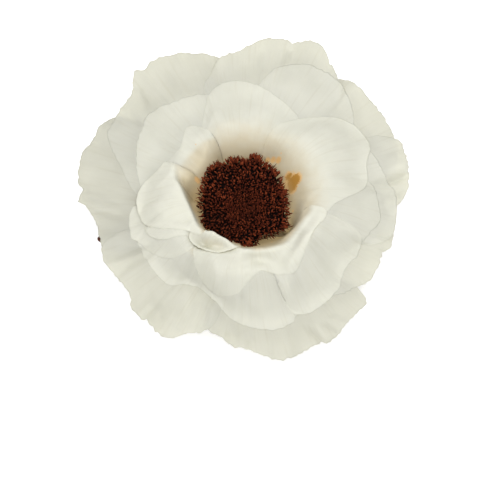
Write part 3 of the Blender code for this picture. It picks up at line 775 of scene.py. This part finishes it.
class Finish:
    """One material: its node tree, its Principled shader, and short ways to add nodes."""

    def __init__(self, name, **constants):
        self.material = bpy.data.materials.new(name)
        self.material.use_nodes = True
        self.tree = self.material.node_tree
        self.shader = self.tree.nodes["Principled BSDF"]
        for socket, value in constants.items():
            self.shader.inputs[socket.replace("_", " ")].default_value = value

    def node(self, kind, settings=None, sockets=None, output=0):
        """A node of a kind, its settings first, then its sockets' values or links. Returns a Signal."""
        node = self.tree.nodes.new("ShaderNode" + kind)
        for key, value in (settings or {}).items():
            setattr(node, key, value)
        for key, value in (sockets or {}).items():
            if isinstance(value, Signal):
                self.tree.links.new(value.socket, node.inputs[key])
            else:
                node.inputs[key].default_value = value
        return Signal(self, node.outputs[output])

    def noise(self, vector, scale, detail=3.0, roughness=0.55, distortion=0.0):
        """Smooth random values about 0.5, scale of them to a metre, in as many layers as detail says."""
        sockets = {"Vector": vector, "Scale": scale, "Detail": detail, "Roughness": roughness,
                   "Distortion": distortion}
        return self.node("TexNoise", {}, sockets)

    def kept(self, name):
        """A value that the mesh keeps at each point."""
        return self.node("Attribute", {"attribute_name": name}, {}, 2)

    def position(self):
        """Where a point is on the flower, in metres."""
        return self.node("TexCoord", {}, {}, 3)

    def distance(self, where, x, y, z=0.0):
        """How far a place is from a point given in mm."""
        return self.node("VectorMath", {"operation": "DISTANCE"}, {0: where, 1: (x * MM, y * MM, z * MM)}, 1)

    def mix(self, factor, first, second, blend="MIX"):
        """Mix of two colours, by a factor from 0 to 1."""
        settings = {"data_type": "RGBA", "blend_type": blend}
        return self.node("Mix", settings, {0: factor, 6: first, 7: second}, 2)

    def stretch(self, vector, scale):
        """The vector with each part multiplied."""
        return self.node("Mapping", {}, {"Vector": vector, "Scale": scale})

    def wear(self, **links):
        """Links signals to the Principled shader's sockets."""
        for socket, signal in links.items():
            self.tree.links.new(signal.socket, self.shader.inputs[socket.replace("_", " ")])


def rgb(red, green, blue):
    """A linear colour from the 0 to 255 values seen on a screen."""
    share = np.array([red, green, blue]) / 255
    linear = np.where(share > 0.04045, ((share + 0.055) / 1.055) ** 2.4, share / 12.92)
    return (*linear.tolist(), 1.0)


print("a screen grey of 128 is", round(rgb(128, 128, 128)[0], 3), "in linear light")

# %% [markdown]
# ## The petal's finish
#
# Dried white petals are cream, never pure white. Veins run up them as lines a shade darker, the throat has a
# tan stain where it touches the stamens, darker at the bottom where painted shade lies over it, pollen has
# left a few golden smudges, and light comes through. A photograph of a petal would be the quick way, but it
# fits one petal only. Here a Principled shader carries the surface, a Translucent one is mixed in for the
# light from behind, and the low wall beside the stamens has a painted glow, an emission that stands in for
# the light a real petal passes down to it.

# %% Petal material
# Where pollen stained the petals: x and y in mm, and the size of the spot
POLLEN = (
    (10.9, 5.1, 1.70), (12.2, 5.4, 1.0), (11.2, 3.6, 0.9), (10.2, 6.6, 0.7), (11.2, 5.0, 1.0),
    (5.6, 10.8, 0.50), (6.8, 10.6, 0.55), (8.0, 10.2, 0.60), (-10.2, 5.4, 0.60), (11.3, -0.8, 0.22),
    (6.5, -8.4, 0.20), (-10.6, 13.1, 0.12), (8.6, 11.3, 0.14))
CREAM, DULL_CREAM = rgb(238, 238, 227), rgb(233, 233, 221)
VEIN, FIBRE = rgb(224, 222, 207), rgb(220, 217, 200)
# The deep tan is a stain with painted shade over it, darkest lowest in the throat
THROAT_TAN, WALL_TAN, DEEP_TAN_SHADE = rgb(216, 196, 154), rgb(204, 188, 152), rgb(186, 150, 104)
POLLEN_PALE, POLLEN_GOLD, FRECKLE = rgb(250, 204, 138), rgb(198, 144, 62), rgb(170, 130, 90)
# Colour of the painted glow by the stamens, and of the light through the petal
PAINTED_GLOW_COLOUR, FROM_BEHIND = rgb(132, 119, 90), rgb(236, 233, 216)
BLACK = rgb(0, 0, 0)
THROUGH_SHARE = 0.34
# Distances from the axis, and then heights, over which a mask fades, in metres
THROAT_FADE, DEEP_FADE, GLOW_FADE = (0.0112, 0.0205), (0.0102, 0.0124), (0.0104, 0.0132)
LOW_FADE, CLAW_FADE = (0.0177, 0.0237), (0.0095, 0.0120)


def spot(flat, x, y, size, ragged):
    """1 inside a ragged spot round a place in mm, and 0 outside it."""
    away = flat.finish.distance(flat, x, y)
    return 1 - (away + ragged * (1.1 * size * MM)).between(size * 0.8 * MM, size * 1.35 * MM)


def petal_flesh(finish, cloud, veins, fibres):
    """Cream under a cloud of duller cream, vein and fibre lines, times the kept painted light and shade."""
    cream = finish.mix(cloud.between(0.35, 0.7), CREAM, DULL_CREAM)
    cream = finish.mix(veins.between(0.50, 0.75) * 0.5, cream, VEIN)
    cream = finish.mix(fibres.between(0.55, 0.8) * 0.2, cream, FIBRE)
    tone = finish.kept("petal_painted_light")
    shade = finish.node("CombineColor", {}, {0: tone, 1: tone, 2: tone})
    return finish.mix(1.0, cream, shade, "MULTIPLY")


def stained_and_shaded(finish, cream, away, ragged, low):
    """Tan over the cream: up the wall of the throat, where a petal has a stain, and lowest by the stamens a
    darker tan, stain and painted shade.
    """
    throat = (1 - (away + ragged * 0.0045).between(*THROAT_FADE)) * finish.kept("on_wall")
    # a darker tan lowest and nearest the stamens: stain with painted shade
    deep = (1 - (away + ragged * 0.0030).between(*DEEP_FADE)) * low
    cream = finish.mix(throat * 0.7, cream, THROAT_TAN)
    cream = finish.mix(finish.kept("wall_stain") * (0.75 + ragged * 0.8), cream, WALL_TAN)
    return finish.mix(deep * 0.3, cream, DEEP_TAN_SHADE)


def dusted(finish, cream, where, flat, cloud):
    """Pollen at the measured spots, gold where they overlap, and a few brown freckles in the duller cream."""
    speckle = finish.noise(where, 3400.0, 1.0) - 0.5
    gold = sum(spot(flat, x, y, size, speckle) for x, y, size in POLLEN)
    pollen = finish.mix((gold + speckle * 1.2).between(1.0, 1.7), POLLEN_PALE, POLLEN_GOLD)
    cream = finish.mix(gold.math("MINIMUM", 1.0), cream, pollen)
    cells = finish.node("TexVoronoi", {}, {"Vector": where, "Scale": 210.0})
    freckles = 1 - cells.between(0.030, 0.055)
    return finish.mix(freckles * cloud.between(0.52, 0.60) * 0.55, cream, FRECKLE)


def petal_finish():
    """The whole petal: its colours, a bump of veins, fibres and grain, light through it, and a painted glow.
    """
    # the emission strength is for the painted glow by the stamens
    finish = Finish("petal_cream", Specular_IOR_Level=0.25, Emission_Strength=0.85)
    where = finish.position()
    flat = finish.node("VectorMath", {"operation": "MULTIPLY"}, {0: where, 1: (1.0, 1.0, 0.0)})
    away = finish.node("VectorMath", {"operation": "LENGTH"}, {0: flat}, 1)
    height = finish.node("SeparateXYZ", {}, {"Vector": where}, 2)
    uv = finish.node("UVMap", {"uv_map": "veins"})
    veins = finish.noise(finish.stretch(uv, (80, 2.2, 1)), 1.0, 2.0, 0.5, 0.3)
    fibres = finish.noise(finish.stretch(uv, (230, 9.0, 1)), 1.0, 2.0)
    cloud, grain = finish.noise(where, 140.0, 3.0), finish.noise(where, 2600.0, 2.0)
    ragged = finish.noise(where, 420.0, 3.0) - 0.5
    low = 1 - (height + ragged * 0.003).between(*LOW_FADE)

    cream = petal_flesh(finish, cloud, veins, fibres)
    cream = dusted(finish, stained_and_shaded(finish, cream, away, ragged, low), where, flat, cloud)
    bump = finish.node("Bump", {}, {"Strength": 0.4, "Distance": 0.00012,
                                    "Height": veins * 0.7 + fibres * 0.35 + grain * 0.25})
    # painted glow: the low wall by the stamens gives off light in place of what a real petal passes down
    painted_glow_mask = (1 - away.between(*GLOW_FADE)) * low * height.between(*CLAW_FADE)
    painted_glow = finish.mix(painted_glow_mask, BLACK, PAINTED_GLOW_COLOUR)
    finish.wear(Base_Color=cream, Normal=bump, Roughness=0.55 + grain * 0.15, Emission_Color=painted_glow)
    finish.material.cycles.emission_sampling = "NONE"

    through = finish.node("BsdfTranslucent", {}, {"Color": FROM_BEHIND})
    front = Signal(finish, finish.shader.outputs[0])
    both = finish.node("MixShader", {}, {0: THROUGH_SHARE, 1: front, 2: through})
    finish.tree.links.new(both.socket, finish.tree.nodes["Material Output"].inputs["Surface"])
    return finish.material


petal_material = petal_finish()
print("petal material has", len(petal_material.node_tree.nodes), "nodes")

# %% [markdown]
# ## Twenty-three petals
#
# Every petal is now one call. A material for each would also do, but they share one, because all that
# differs between them is kept in the mesh.

# %% Make every petal
triangles = 0
for petal in PETALS:
    mesh = petal_mesh(petal)
    triangles += 2 * len(mesh.polygons)
    add_piece("fine_" + petal.name, mesh, petal_material, petal.name)
print("petals made, with", triangles, "triangles")

# %% [markdown]
# ## The centre
#
# The dark button is a dome of tiny pistils with a ring of stamens round it, hundreds of dry brown anthers
# on thin stalks. Particles could scatter them, but the arrays below place them at once: one small grain of
# a few dozen faces is turned, stretched and copied to places on a jittered golden-angle spiral.

# %% The shape of the centre
CENTRE_TOP = 21.6
# Azimuth in degrees and radius in mm of the ragged edge of the anthers
CENTRE_EDGE = (
    (-21, 11.0), (-8, 10.1), (3, 10.1), (14, 9.9), (25, 9.8), (36, 10.2), (46, 10.9), (56, 10.9),
    (66, 11.0), (72, 11.6), (77, 12.0), (82, 11.0), (90, 10.6), (98, 11.1), (104, 11.2), (112, 10.8),
    (121, 11.4), (129, 11.8), (134, 12.0), (141, 11.4), (150, 10.6), (161, 10.2), (174, 9.8), (191, 9.7),
    (204, 10.3), (210, 10.6), (226, 9.7), (248, 9.5), (266, 10.0), (275, 10.3), (281, 10.5), (288, 9.7),
    (297, 8.9), (305, 9.2), (314, 9.8), (323, 10.6), (331, 11.6), (339, 11.0), (352, 10.1))
DIMPLE = np.array([0.7, -2.0])
GOLDEN = math.pi * (3 - math.sqrt(5))


def centre_edge(x, y):
    """Radius of the anthers' edge in the direction of a place."""
    angle = np.degrees(np.arctan2(y, x))
    return through(CENTRE_EDGE, np.where(angle < -21, angle + 360, angle))


def centre_skin(x, y):
    """Height of the centre: level, less a bell-shaped dimple near the middle, and less the sixth power of the
    share of the way to the edge."""
    share = np.hypot(x, y) / centre_edge(x, y)
    dimple = 0.8 * np.exp(-((x - DIMPLE[0]) ** 2 + (y - DIMPLE[1]) ** 2) / 2.2**2)
    return CENTRE_TOP - dimple - 2.4 * np.clip(share, 0, 1.05) ** 6


print("centre is", round(float(centre_skin(0.0, 0.0)), 1), "mm high in the middle")

# %% [markdown]
# ## One grain, many times
#
# A real anther is a bent, plump capsule under a millimetre long. Modelling a few by hand and letting Blender
# place copies would look as good, but thousands of objects are slow. So one rod of a few dozen faces is bent,
# and its points are multiplied and moved as one array.

# %% One grain, many times
def grain_shape(sides, rings, bend=0.0):
    """A closed rod of radius 1 from z = 0 to 1, rounded at both ends, and bowed by bend in its middle."""
    share = np.linspace(0, 1, rings)
    profile = np.sqrt(np.clip(1 - (2 * share - 1) ** 4, 0.12, 1))
    turn = np.arange(sides) * TAU / sides
    x = profile[:, None] * np.cos(turn) + bend * (1 - (2 * share[:, None] - 1) ** 2)
    y = profile[:, None] * np.sin(turn)
    body = np.stack([x, y, share[:, None] + 0 * turn], axis=-1).reshape(-1, 3)
    return close_tube(np.concatenate([body, [[0, 0, -0.04], [0, 0, 1.04]]]), rings, sides)


def close_tube(points, rings, sides):
    """Faces for rings of points, first ring lowest, closed by the last two points: the bottom and the top."""
    number = np.arange(sides)
    after = (number + 1) % sides
    low = (np.arange(rings - 1) * sides)[:, None]
    first = np.stack([low + number, low + after, low + sides + after], axis=-1).reshape(-1, 3)
    second = np.stack([low + number, low + sides + after, low + sides + number], axis=-1).reshape(-1, 3)
    last = (rings - 1) * sides
    bottom = np.stack([np.full(sides, rings * sides), after, number], axis=1)
    top = np.stack([np.full(sides, rings * sides + 1), last + number, last + after], axis=1)
    return points, np.concatenate([first, second, bottom, top])


def scatter(shape, feet, axes, lengths, widths, spins):
    """Copies of a shape: each is stretched, spun, and stood with its foot at a point and along an axis."""
    points, faces = shape
    axes = axes / np.linalg.norm(axes, axis=1, keepdims=True)
    helper = np.where(np.abs(axes[:, 2:]) < 0.9, [[0.0, 0.0, 1.0]], [[1.0, 0.0, 0.0]])
    side = np.cross(axes, helper)
    side /= np.linalg.norm(side, axis=1, keepdims=True)
    front = np.cross(axes, side)
    c, s = np.cos(spins)[:, None], np.sin(spins)[:, None]
    side, front = side * c + front * s, front * c - side * s
    moved = (feet[:, None] + points[None, :, 0:1] * (side * widths[:, None])[:, None]
             + points[None, :, 1:2] * (front * widths[:, None])[:, None]
             + points[None, :, 2:3] * (axes * lengths[:, None])[:, None])
    shifted = faces[None] + (np.arange(len(feet)) * len(points))[:, None, None]
    tone = np.repeat(draw.uniform(0, 1, len(feet)), len(points))
    return moved.reshape(-1, 3), shifted.reshape(-1, 3), tone


print("a grain has", len(grain_shape(6, 5)[1]), "triangles")

# %% [markdown]
# ## Pistils, anthers, stalks and tufts
#
# The grains fall in four kinds. Pistils stand close in the middle, anthers lie over each other round them,
# stalks lean out at the edge, and where the photograph shows a bunch, a tuft points outwards. One random
# generator with a fixed seed serves them all in turn, so the head comes out the same each time.

# %% Pistils, anthers, stalks and tufts
draw = np.random.default_rng(7)
# Azimuth, radius and length of the tufts that stand out of the edge, in degrees and mm
TUFTS = (
    (77, 11.6, 1.8), (74, 11.3, 1.5), (90, 10.4, 1.3), (100, 10.8, 1.4), (105, 10.9, 1.4), (46, 10.7, 1.4),
    (58, 10.7, 1.2), (14, 10.0, 1.6), (17, 9.9, 1.3), (133, 11.6, 1.3), (122, 11.2, 1.2), (331, 11.2, 1.5),
    (279, 10.1, 1.3), (160, 10.1, 1.2), (3, 10.0, 1.2))


def spiral(count, inner, outer, jitter):
    """Places on a golden-angle spiral between two shares of the edge's radius, moved a little at random."""
    share = np.sqrt(inner**2 + (outer**2 - inner**2) * (np.arange(count) + 0.5) / count)
    spacing = math.sqrt(math.pi * (outer**2 - inner**2) / count)
    share = share + draw.normal(0, jitter * spacing, count)
    angle = np.arange(count) * GOLDEN + draw.normal(0, jitter * spacing, count) / np.maximum(share, 0.1)
    return share, angle


def on_centre(share, angle, lift):
    """Points over the centre's skin at a share of the way to its edge."""
    x, y = np.cos(angle), np.sin(angle)
    reach = np.abs(share) * centre_edge(x, y)
    x, y = reach * x, reach * y
    return np.stack([x, y, centre_skin(x, y) + lift], axis=-1)


def leaning(heading, tilt):
    """Directions tilted from the vertical towards a heading."""
    return np.stack([np.sin(tilt) * np.cos(heading), np.sin(tilt) * np.sin(heading), np.cos(tilt)], axis=-1)


def pistils(count=900):
    """The fine head in the middle: short blunt pins that stand close and lean at random."""
    share, angle = spiral(count, 0.0, 0.44, 0.25)
    feet = on_centre(share, angle, draw.uniform(-0.6, -0.25, count)) + [*DIMPLE * 0.8, 0]
    axes = leaning(draw.uniform(0, TAU, count), np.abs(draw.normal(0.45, 0.3, count)))
    return scatter(grain_shape(5, 4, 0.5), feet, axes, draw.uniform(0.6, 0.95, count),
                   draw.uniform(0.13, 0.18, count), draw.uniform(0, TAU, count))


def anthers(count, inner, low, high):
    """The ring of anthers: plump bowed grains, most of them lying over outwards, the others in no order."""
    share, angle = spiral(count, inner, 0.985, 0.32)
    tilt = np.clip(draw.normal(0.45, 0.35, count) + 0.6 * share**3, 0.05, 1.7)
    outwards = draw.uniform(size=count) < 0.35 + 0.4 * np.clip(share, 0, 1) ** 3
    heading = angle + np.where(outwards, draw.normal(0, 0.7, count), draw.uniform(0, TAU, count))
    feet = on_centre(share - 0.03, angle, draw.uniform(low, high, count))
    return scatter(grain_shape(6, 5, 0.6), feet, leaning(heading, tilt), draw.uniform(0.6, 1.05, count),
                   draw.uniform(0.13, 0.19, count), draw.uniform(0, TAU, count))


def stalks(count=380):
    """Stalks at the edge, thin and leaning out, which make the outline ragged."""
    angle = draw.uniform(0, TAU, count)
    feet = on_centre(draw.uniform(0.86, 0.97, count), angle, draw.uniform(-1.6, -0.6, count))
    axes = leaning(angle + draw.normal(0, 0.35, count), draw.uniform(0.5, 1.2, count))
    return scatter(grain_shape(4, 4, 0.8), feet, axes, draw.uniform(1.0, 2.0, count),
                   draw.uniform(0.08, 0.14, count), draw.uniform(0, TAU, count))


def tufts(each=16):
    """Bunches of grains that point outwards, at the measured places."""
    places = np.repeat(np.array(TUFTS, dtype=float), each, axis=0)
    count = len(places)
    angle = np.radians(places[:, 0] + draw.normal(0, 2.2, count))
    reach = places[:, 1] - draw.uniform(0.2, 1.5, count)
    x, y = reach * np.cos(angle), reach * np.sin(angle)
    feet = np.stack([x, y, centre_skin(x, y) + draw.uniform(-0.5, 0.5, count)], axis=-1)
    axes = leaning(angle + draw.normal(0, 0.4, count), draw.uniform(0.7, 1.5, count))
    return scatter(grain_shape(6, 5, 0.7), feet, axes, places[:, 2] * draw.uniform(0.5, 0.8, count),
                   draw.uniform(0.14, 0.2, count), draw.uniform(0, TAU, count))


def core(rings=30, sides=120):
    """The dark dome under the grains: rings on the skin, then in under it to the column, closed below."""
    share = np.concatenate([[0.25, 0.5, 0.72], np.linspace(0.93, 0.03, rings)])
    turn = np.arange(sides) * TAU / sides
    x, y = np.cos(turn), np.sin(turn)
    reach = share[:, None] * centre_edge(x, y)
    height = centre_skin(reach * x, reach * y) - 0.85
    height[:3] = np.array([15.3, 15.4, 16.6])[:, None]
    points = np.stack([reach * x, reach * y, height], axis=-1).reshape(-1, 3)
    ends = [[0, 0, 15.2], [0, 0, height[-1].mean()]]
    points, faces = close_tube(np.concatenate([points, ends]), len(share), sides)
    return points, faces, np.zeros(len(points))


def join(parts):
    """Points, faces and values of several parts as one."""
    start = np.cumsum([0] + [len(part[0]) for part in parts[:-1]])
    return (np.concatenate([part[0] for part in parts]),
            np.concatenate([part[1] + first for part, first in zip(parts, start)]),
            np.concatenate([part[2] for part in parts]))


centre_points, centre_faces, centre_tone = join(
    [core(), pistils(), anthers(600, 0.3, -0.85, -0.5), anthers(1450, 0.30, -0.5, 0.1), stalks(), tufts()])
skin = centre_skin(centre_points[:, 0], centre_points[:, 1])
# painted light and shade among the grains: 0 deep between them and 1 on top
centre_painted_light = np.clip((centre_points[:, 2] - skin + 0.45) / 1.0, 0, 1)
print("centre:", len(centre_faces), "triangles")

# %% [markdown]
# ## The centre's finish
#
# The grains are chestnut where they catch the light and almost black between. Shadow alone leaves them too
# even at this size, so a value kept at each point, 0 deep between the grains and 1 on top, paints shade
# between them and a painted highlight on top, and another gives each grain its own tone. The middle and the
# lower left are darker than the rest.

# %% Centre material
# Painted shade between the grains, chestnut, and a painted highlight on the grains' tops
PAINTED_HOLLOW_SHADE, CHESTNUT, LIT_CHESTNUT = rgb(14, 5, 4), rgb(80, 31, 17), rgb(140, 66, 37)
DARK_SIDE, DARK_MIDDLE = rgb(26, 10, 6), rgb(40, 16, 9)


def centre_finish():
    """Painted shade from the hollows to chestnut with height among the grains, a painted highlight weighted
    by each one's tone, and dark at two places.
    """
    finish = Finish("stamen_chestnut", Specular_IOR_Level=0.08)
    where = finish.position()
    speck = finish.noise(where, 1900.0, 2.0)
    # painted shade and highlight by height among the grains
    height = (finish.kept("grain_painted_light") + (speck - 0.5) * 0.5).between(0.25, 1.0)
    brown = finish.mix(height, PAINTED_HOLLOW_SHADE, CHESTNUT)
    brown = finish.mix(height * finish.kept("grain_tone").between(0.35, 0.95) * 0.75, brown, LIT_CHESTNUT)
    side = finish.distance(where, -7.5, -7.0, 20.2).between(0.0025, 0.0085)
    brown = finish.mix((1 - side) * 0.4, brown, DARK_SIDE)
    middle = finish.distance(where, *DIMPLE, 20.7).between(0.0012, 0.0050)
    brown = finish.mix((1 - middle) * 0.5, brown, DARK_MIDDLE)
    bump = finish.node("Bump", {}, {"Strength": 0.4, "Distance": 0.00006, "Height": speck})
    finish.wear(Base_Color=brown, Normal=bump, Roughness=0.65 + speck * 0.3)
    return finish.material


centre_values = {"grain_painted_light": centre_painted_light, "grain_tone": centre_tone}
centre_mesh = make_mesh("centre", centre_points, centre_faces, None, centre_values)
add_piece("fine_centre", centre_mesh, centre_finish(), "centre_stamens")
print("centre material has", len(centre_mesh.materials[0].node_tree.nodes), "nodes")

# %% [markdown]
# ## The calyx
#
# Under the petals the flower ends in a small hip, cut flush, with five long pointed sepals. One tip shows
# in the photograph as a dark sliver at the left. The hip is a turned profile and each sepal a closed sheet,
# like a petal, arched across and pinched to a point.

# %% Calyx and sepals
# Azimuth, reach, half width and height of the tip of each sepal, in degrees and mm
SEPALS = (
    (189.2, 33.7, 4.4, 10.2), (255.0, 25.0, 3.4, 6.5), (322.0, 26.0, 3.2, 8.0), (40.0, 27.0, 3.3, 9.0),
    (115.0, 26.0, 3.4, 9.5))
SEPAL_ROOT, SEPAL_FOOT = 3.0, 4.4  # radius and height where a sepal starts
# Radius and height along the hip's profile, from the cut face to the top of its column
HIP = (
    (0.05, 0.0), (3.0, 0.0), (4.7, 0.0), (5.4, 0.45), (6.0, 1.3), (6.35, 2.2), (6.4, 3.1), (6.5, 4.2),
    (7.1, 4.8), (7.55, 5.2), (7.5, 5.9), (6.4, 6.0), (4.4, 6.0), (4.2, 6.3), (4.2, 10.0), (4.2, 14.6),
    (3.9, 14.7), (0.05, 14.7))


def hip_points(sides=96):
    """The hip's profile turned round the axis, with ten shallow ribs that fade towards both of its ends."""
    reach, height = np.array(HIP).T
    turn = np.arange(sides) * TAU / sides
    ribs = 0.10 * np.cos(10 * turn) * (np.sin(np.clip(height / 5.0, 0, 1) * math.pi) ** 2)[:, None]
    width = reach[:, None] * (1 + 0 * turn) + ribs * (reach[:, None] > 5.0)
    return np.stack([width * np.cos(turn), width * np.sin(turn), height[:, None] + 0 * turn], axis=-1)


def sepal_sheet(azimuth, reach, half_width, tip_height):
    """A closed blade: width grows as a sine of the way along and pinches to a point, arched across."""
    along = np.linspace(0, 1, 60)[:, None]
    across = np.linspace(-1, 1, 15)[None, :]
    width = half_width * (0.12 + 0.88 * np.sin(math.pi * (0.15 + 0.78 * along)) ** 0.7)
    width = width * (1 - 0.85 * smoothstep((along - 0.95) / 0.05))
    out = SEPAL_ROOT + (reach - SEPAL_ROOT) * along + 0 * across
    height = SEPAL_FOOT + (tip_height - SEPAL_FOOT) * along - 0.5 * np.sin(math.pi * along)
    arch = -0.5 * across**2 * np.sin(math.pi * along) + 0.12 * np.exp(-((across / 0.18) ** 2))
    veins = 0.04 * np.cos(across * 14) * np.sin(math.pi * along)
    turn = math.radians(azimuth)
    side = width * across
    points = np.stack([out * math.cos(turn) - side * math.sin(turn),
                       out * math.sin(turn) + side * math.cos(turn), height + arch + veins], axis=-1)
    sheet, faces = close_sheet(points, 0.55 - 0.3 * along + 0 * across)
    return sheet, np.concatenate([faces[:, :3], faces[:, [0, 2, 3]]]), np.full(len(sheet), 1.0)


hip = hip_points()
hip_ends = [[0, 0, HIP[0][1]], [0, 0, HIP[-1][1]]]
hip_all, hip_faces = close_tube(np.concatenate([hip.reshape(-1, 3), hip_ends]), *hip.shape[:2])
hip_part = (hip_all, hip_faces, np.zeros(len(hip_all)))
calyx_points, calyx_faces, calyx_leaf = join([hip_part] + [sepal_sheet(*values) for values in SEPALS])
print("calyx:", len(calyx_faces), "triangles")

# %% [markdown]
# ## The calyx's finish
#
# The hip dries to an olive brown and the sepals to a redder one, both blotched. One material does for both,
# because a value kept at each point says which of the two it is on.

# %% Calyx material
OLIVE, OLIVE_DARK = rgb(92, 70, 38), rgb(70, 44, 26)
RUSSET, RUSSET_DARK = rgb(98, 52, 34), rgb(58, 26, 18)


def calyx_finish():
    """Blotches of two browns, olive on the hip and russet on the sepals, with a bump of the same noises."""
    finish = Finish("calyx_dry", Specular_IOR_Level=0.35)
    where = finish.position()
    blotch = finish.noise(where, 300.0, 4.0)
    fine = finish.noise(where, 2200.0, 2.0)
    colour = finish.mix(blotch.between(0.35, 0.7), OLIVE, OLIVE_DARK)
    sepal = finish.mix(blotch.between(0.3, 0.65), RUSSET, RUSSET_DARK)
    colour = finish.mix(finish.kept("on_sepal"), colour, sepal)
    bump = finish.node("Bump", {}, {"Strength": 0.5, "Distance": 0.0001, "Height": blotch * 0.6 + fine * 0.4})
    finish.wear(Base_Color=colour, Normal=bump, Roughness=0.5 + fine * 0.25)
    return finish.material


calyx_mesh = make_mesh("calyx_fine", calyx_points, calyx_faces, None, {"on_sepal": calyx_leaf})
add_piece("fine_calyx", calyx_mesh, calyx_finish(), "calyx")
print("calyx material has", len(calyx_mesh.materials[0].node_tree.nodes), "nodes")

# %% [markdown]
# ## Floor, light and camera
#
# The photograph has an even, bright light and a white ground. One hard lamp would draw black shadows
# between the petals. Two wide soft ones overhead and a white sky give them their faint shade instead. The
# floor gives off a little light, so that it stays white round the flower. The camera looks down at 74
# degrees through a long lens, from 45 cm away.

# %% Floor
FLOOR_HALF = 1500.0
FLOOR_GLOW = 0.36
WHITE = (1.0, 1.0, 1.0, 1.0)


def make_floor():
    """A white square at the height of the cut face, a shade uneven."""
    points = FLOOR_HALF * np.array([[-1, -1, 0], [1, -1, 0], [1, 1, 0], [-1, 1, 0]])
    mesh = make_mesh("floor", points, np.array([[0, 1, 2, 3]]))
    finish = Finish("floor_white", Roughness=0.9, Specular_IOR_Level=0.1, Emission_Color=WHITE,
                    Emission_Strength=FLOOR_GLOW)
    fine = finish.noise(finish.position(), 40.0, 2.0)
    finish.wear(Base_Color=finish.mix(fine, (0.93, 0.93, 0.93, 1), (0.95, 0.95, 0.95, 1)))
    mesh.materials.append(finish.material)
    floor = bpy.data.objects.new("floor", mesh)
    bpy.context.scene.collection.objects.link(floor)


make_floor()
print("floor is", 2 * FLOOR_HALF / 1000, "m wide")

# %% Lamps and sky
LIT_POINT = (0, 0, 15)
SKY_STRENGTH = 0.60


def add_lamp(name, place_mm, size_mm, power):
    """A square area lamp at a place, turned to face the flower."""
    lamp = bpy.data.lights.new(name, "AREA")
    lamp.shape, lamp.size, lamp.energy = "SQUARE", size_mm * MM, power
    obj = bpy.data.objects.new(name, lamp)
    bpy.context.scene.collection.objects.link(obj)
    aim_at(obj, np.array(place_mm, dtype=float), np.array(LIT_POINT, dtype=float))


def aim_at(obj, place_mm, aim_mm):
    """Puts an object at a place with its -Z axis towards a point and its +X level."""
    obj.location = place_mm * MM
    obj.rotation_euler = Vector(place_mm - aim_mm).to_track_quat("Z", "Y").to_euler()


add_lamp("key", (15, 40, 660), 340, 2.10)
add_lamp("fill", (-60, -260, 600), 360, 1.1)
world = bpy.data.worlds.new("white_room")
world.use_nodes = True
background = world.node_tree.nodes["Background"]
background.inputs["Color"].default_value = WHITE
background.inputs["Strength"].default_value = SKY_STRENGTH
bpy.context.scene.world = world
print("lamps:", len(bpy.data.lights), "and a sky of strength", SKY_STRENGTH)

# %% Camera
ELEVATION = math.radians(74)
DISTANCE = 450.0
AIM = np.array([1.6, -9.7, 16.2])
SENSOR, LENS = 36.0, 143.9
camera = bpy.data.objects.new("camera", bpy.data.cameras.new("camera"))
bpy.context.scene.collection.objects.link(camera)
camera.data.sensor_width, camera.data.lens = SENSOR, LENS
aim_at(camera, AIM + DISTANCE * np.array([0, -math.cos(ELEVATION), math.sin(ELEVATION)]), AIM)
bpy.context.scene.camera = camera
bpy.context.scene.view_settings.view_transform = "Standard"
bpy.context.scene.view_settings.look = "None"
print("camera at", np.round(np.array(camera.location) / MM, 1).tolist(), "mm")
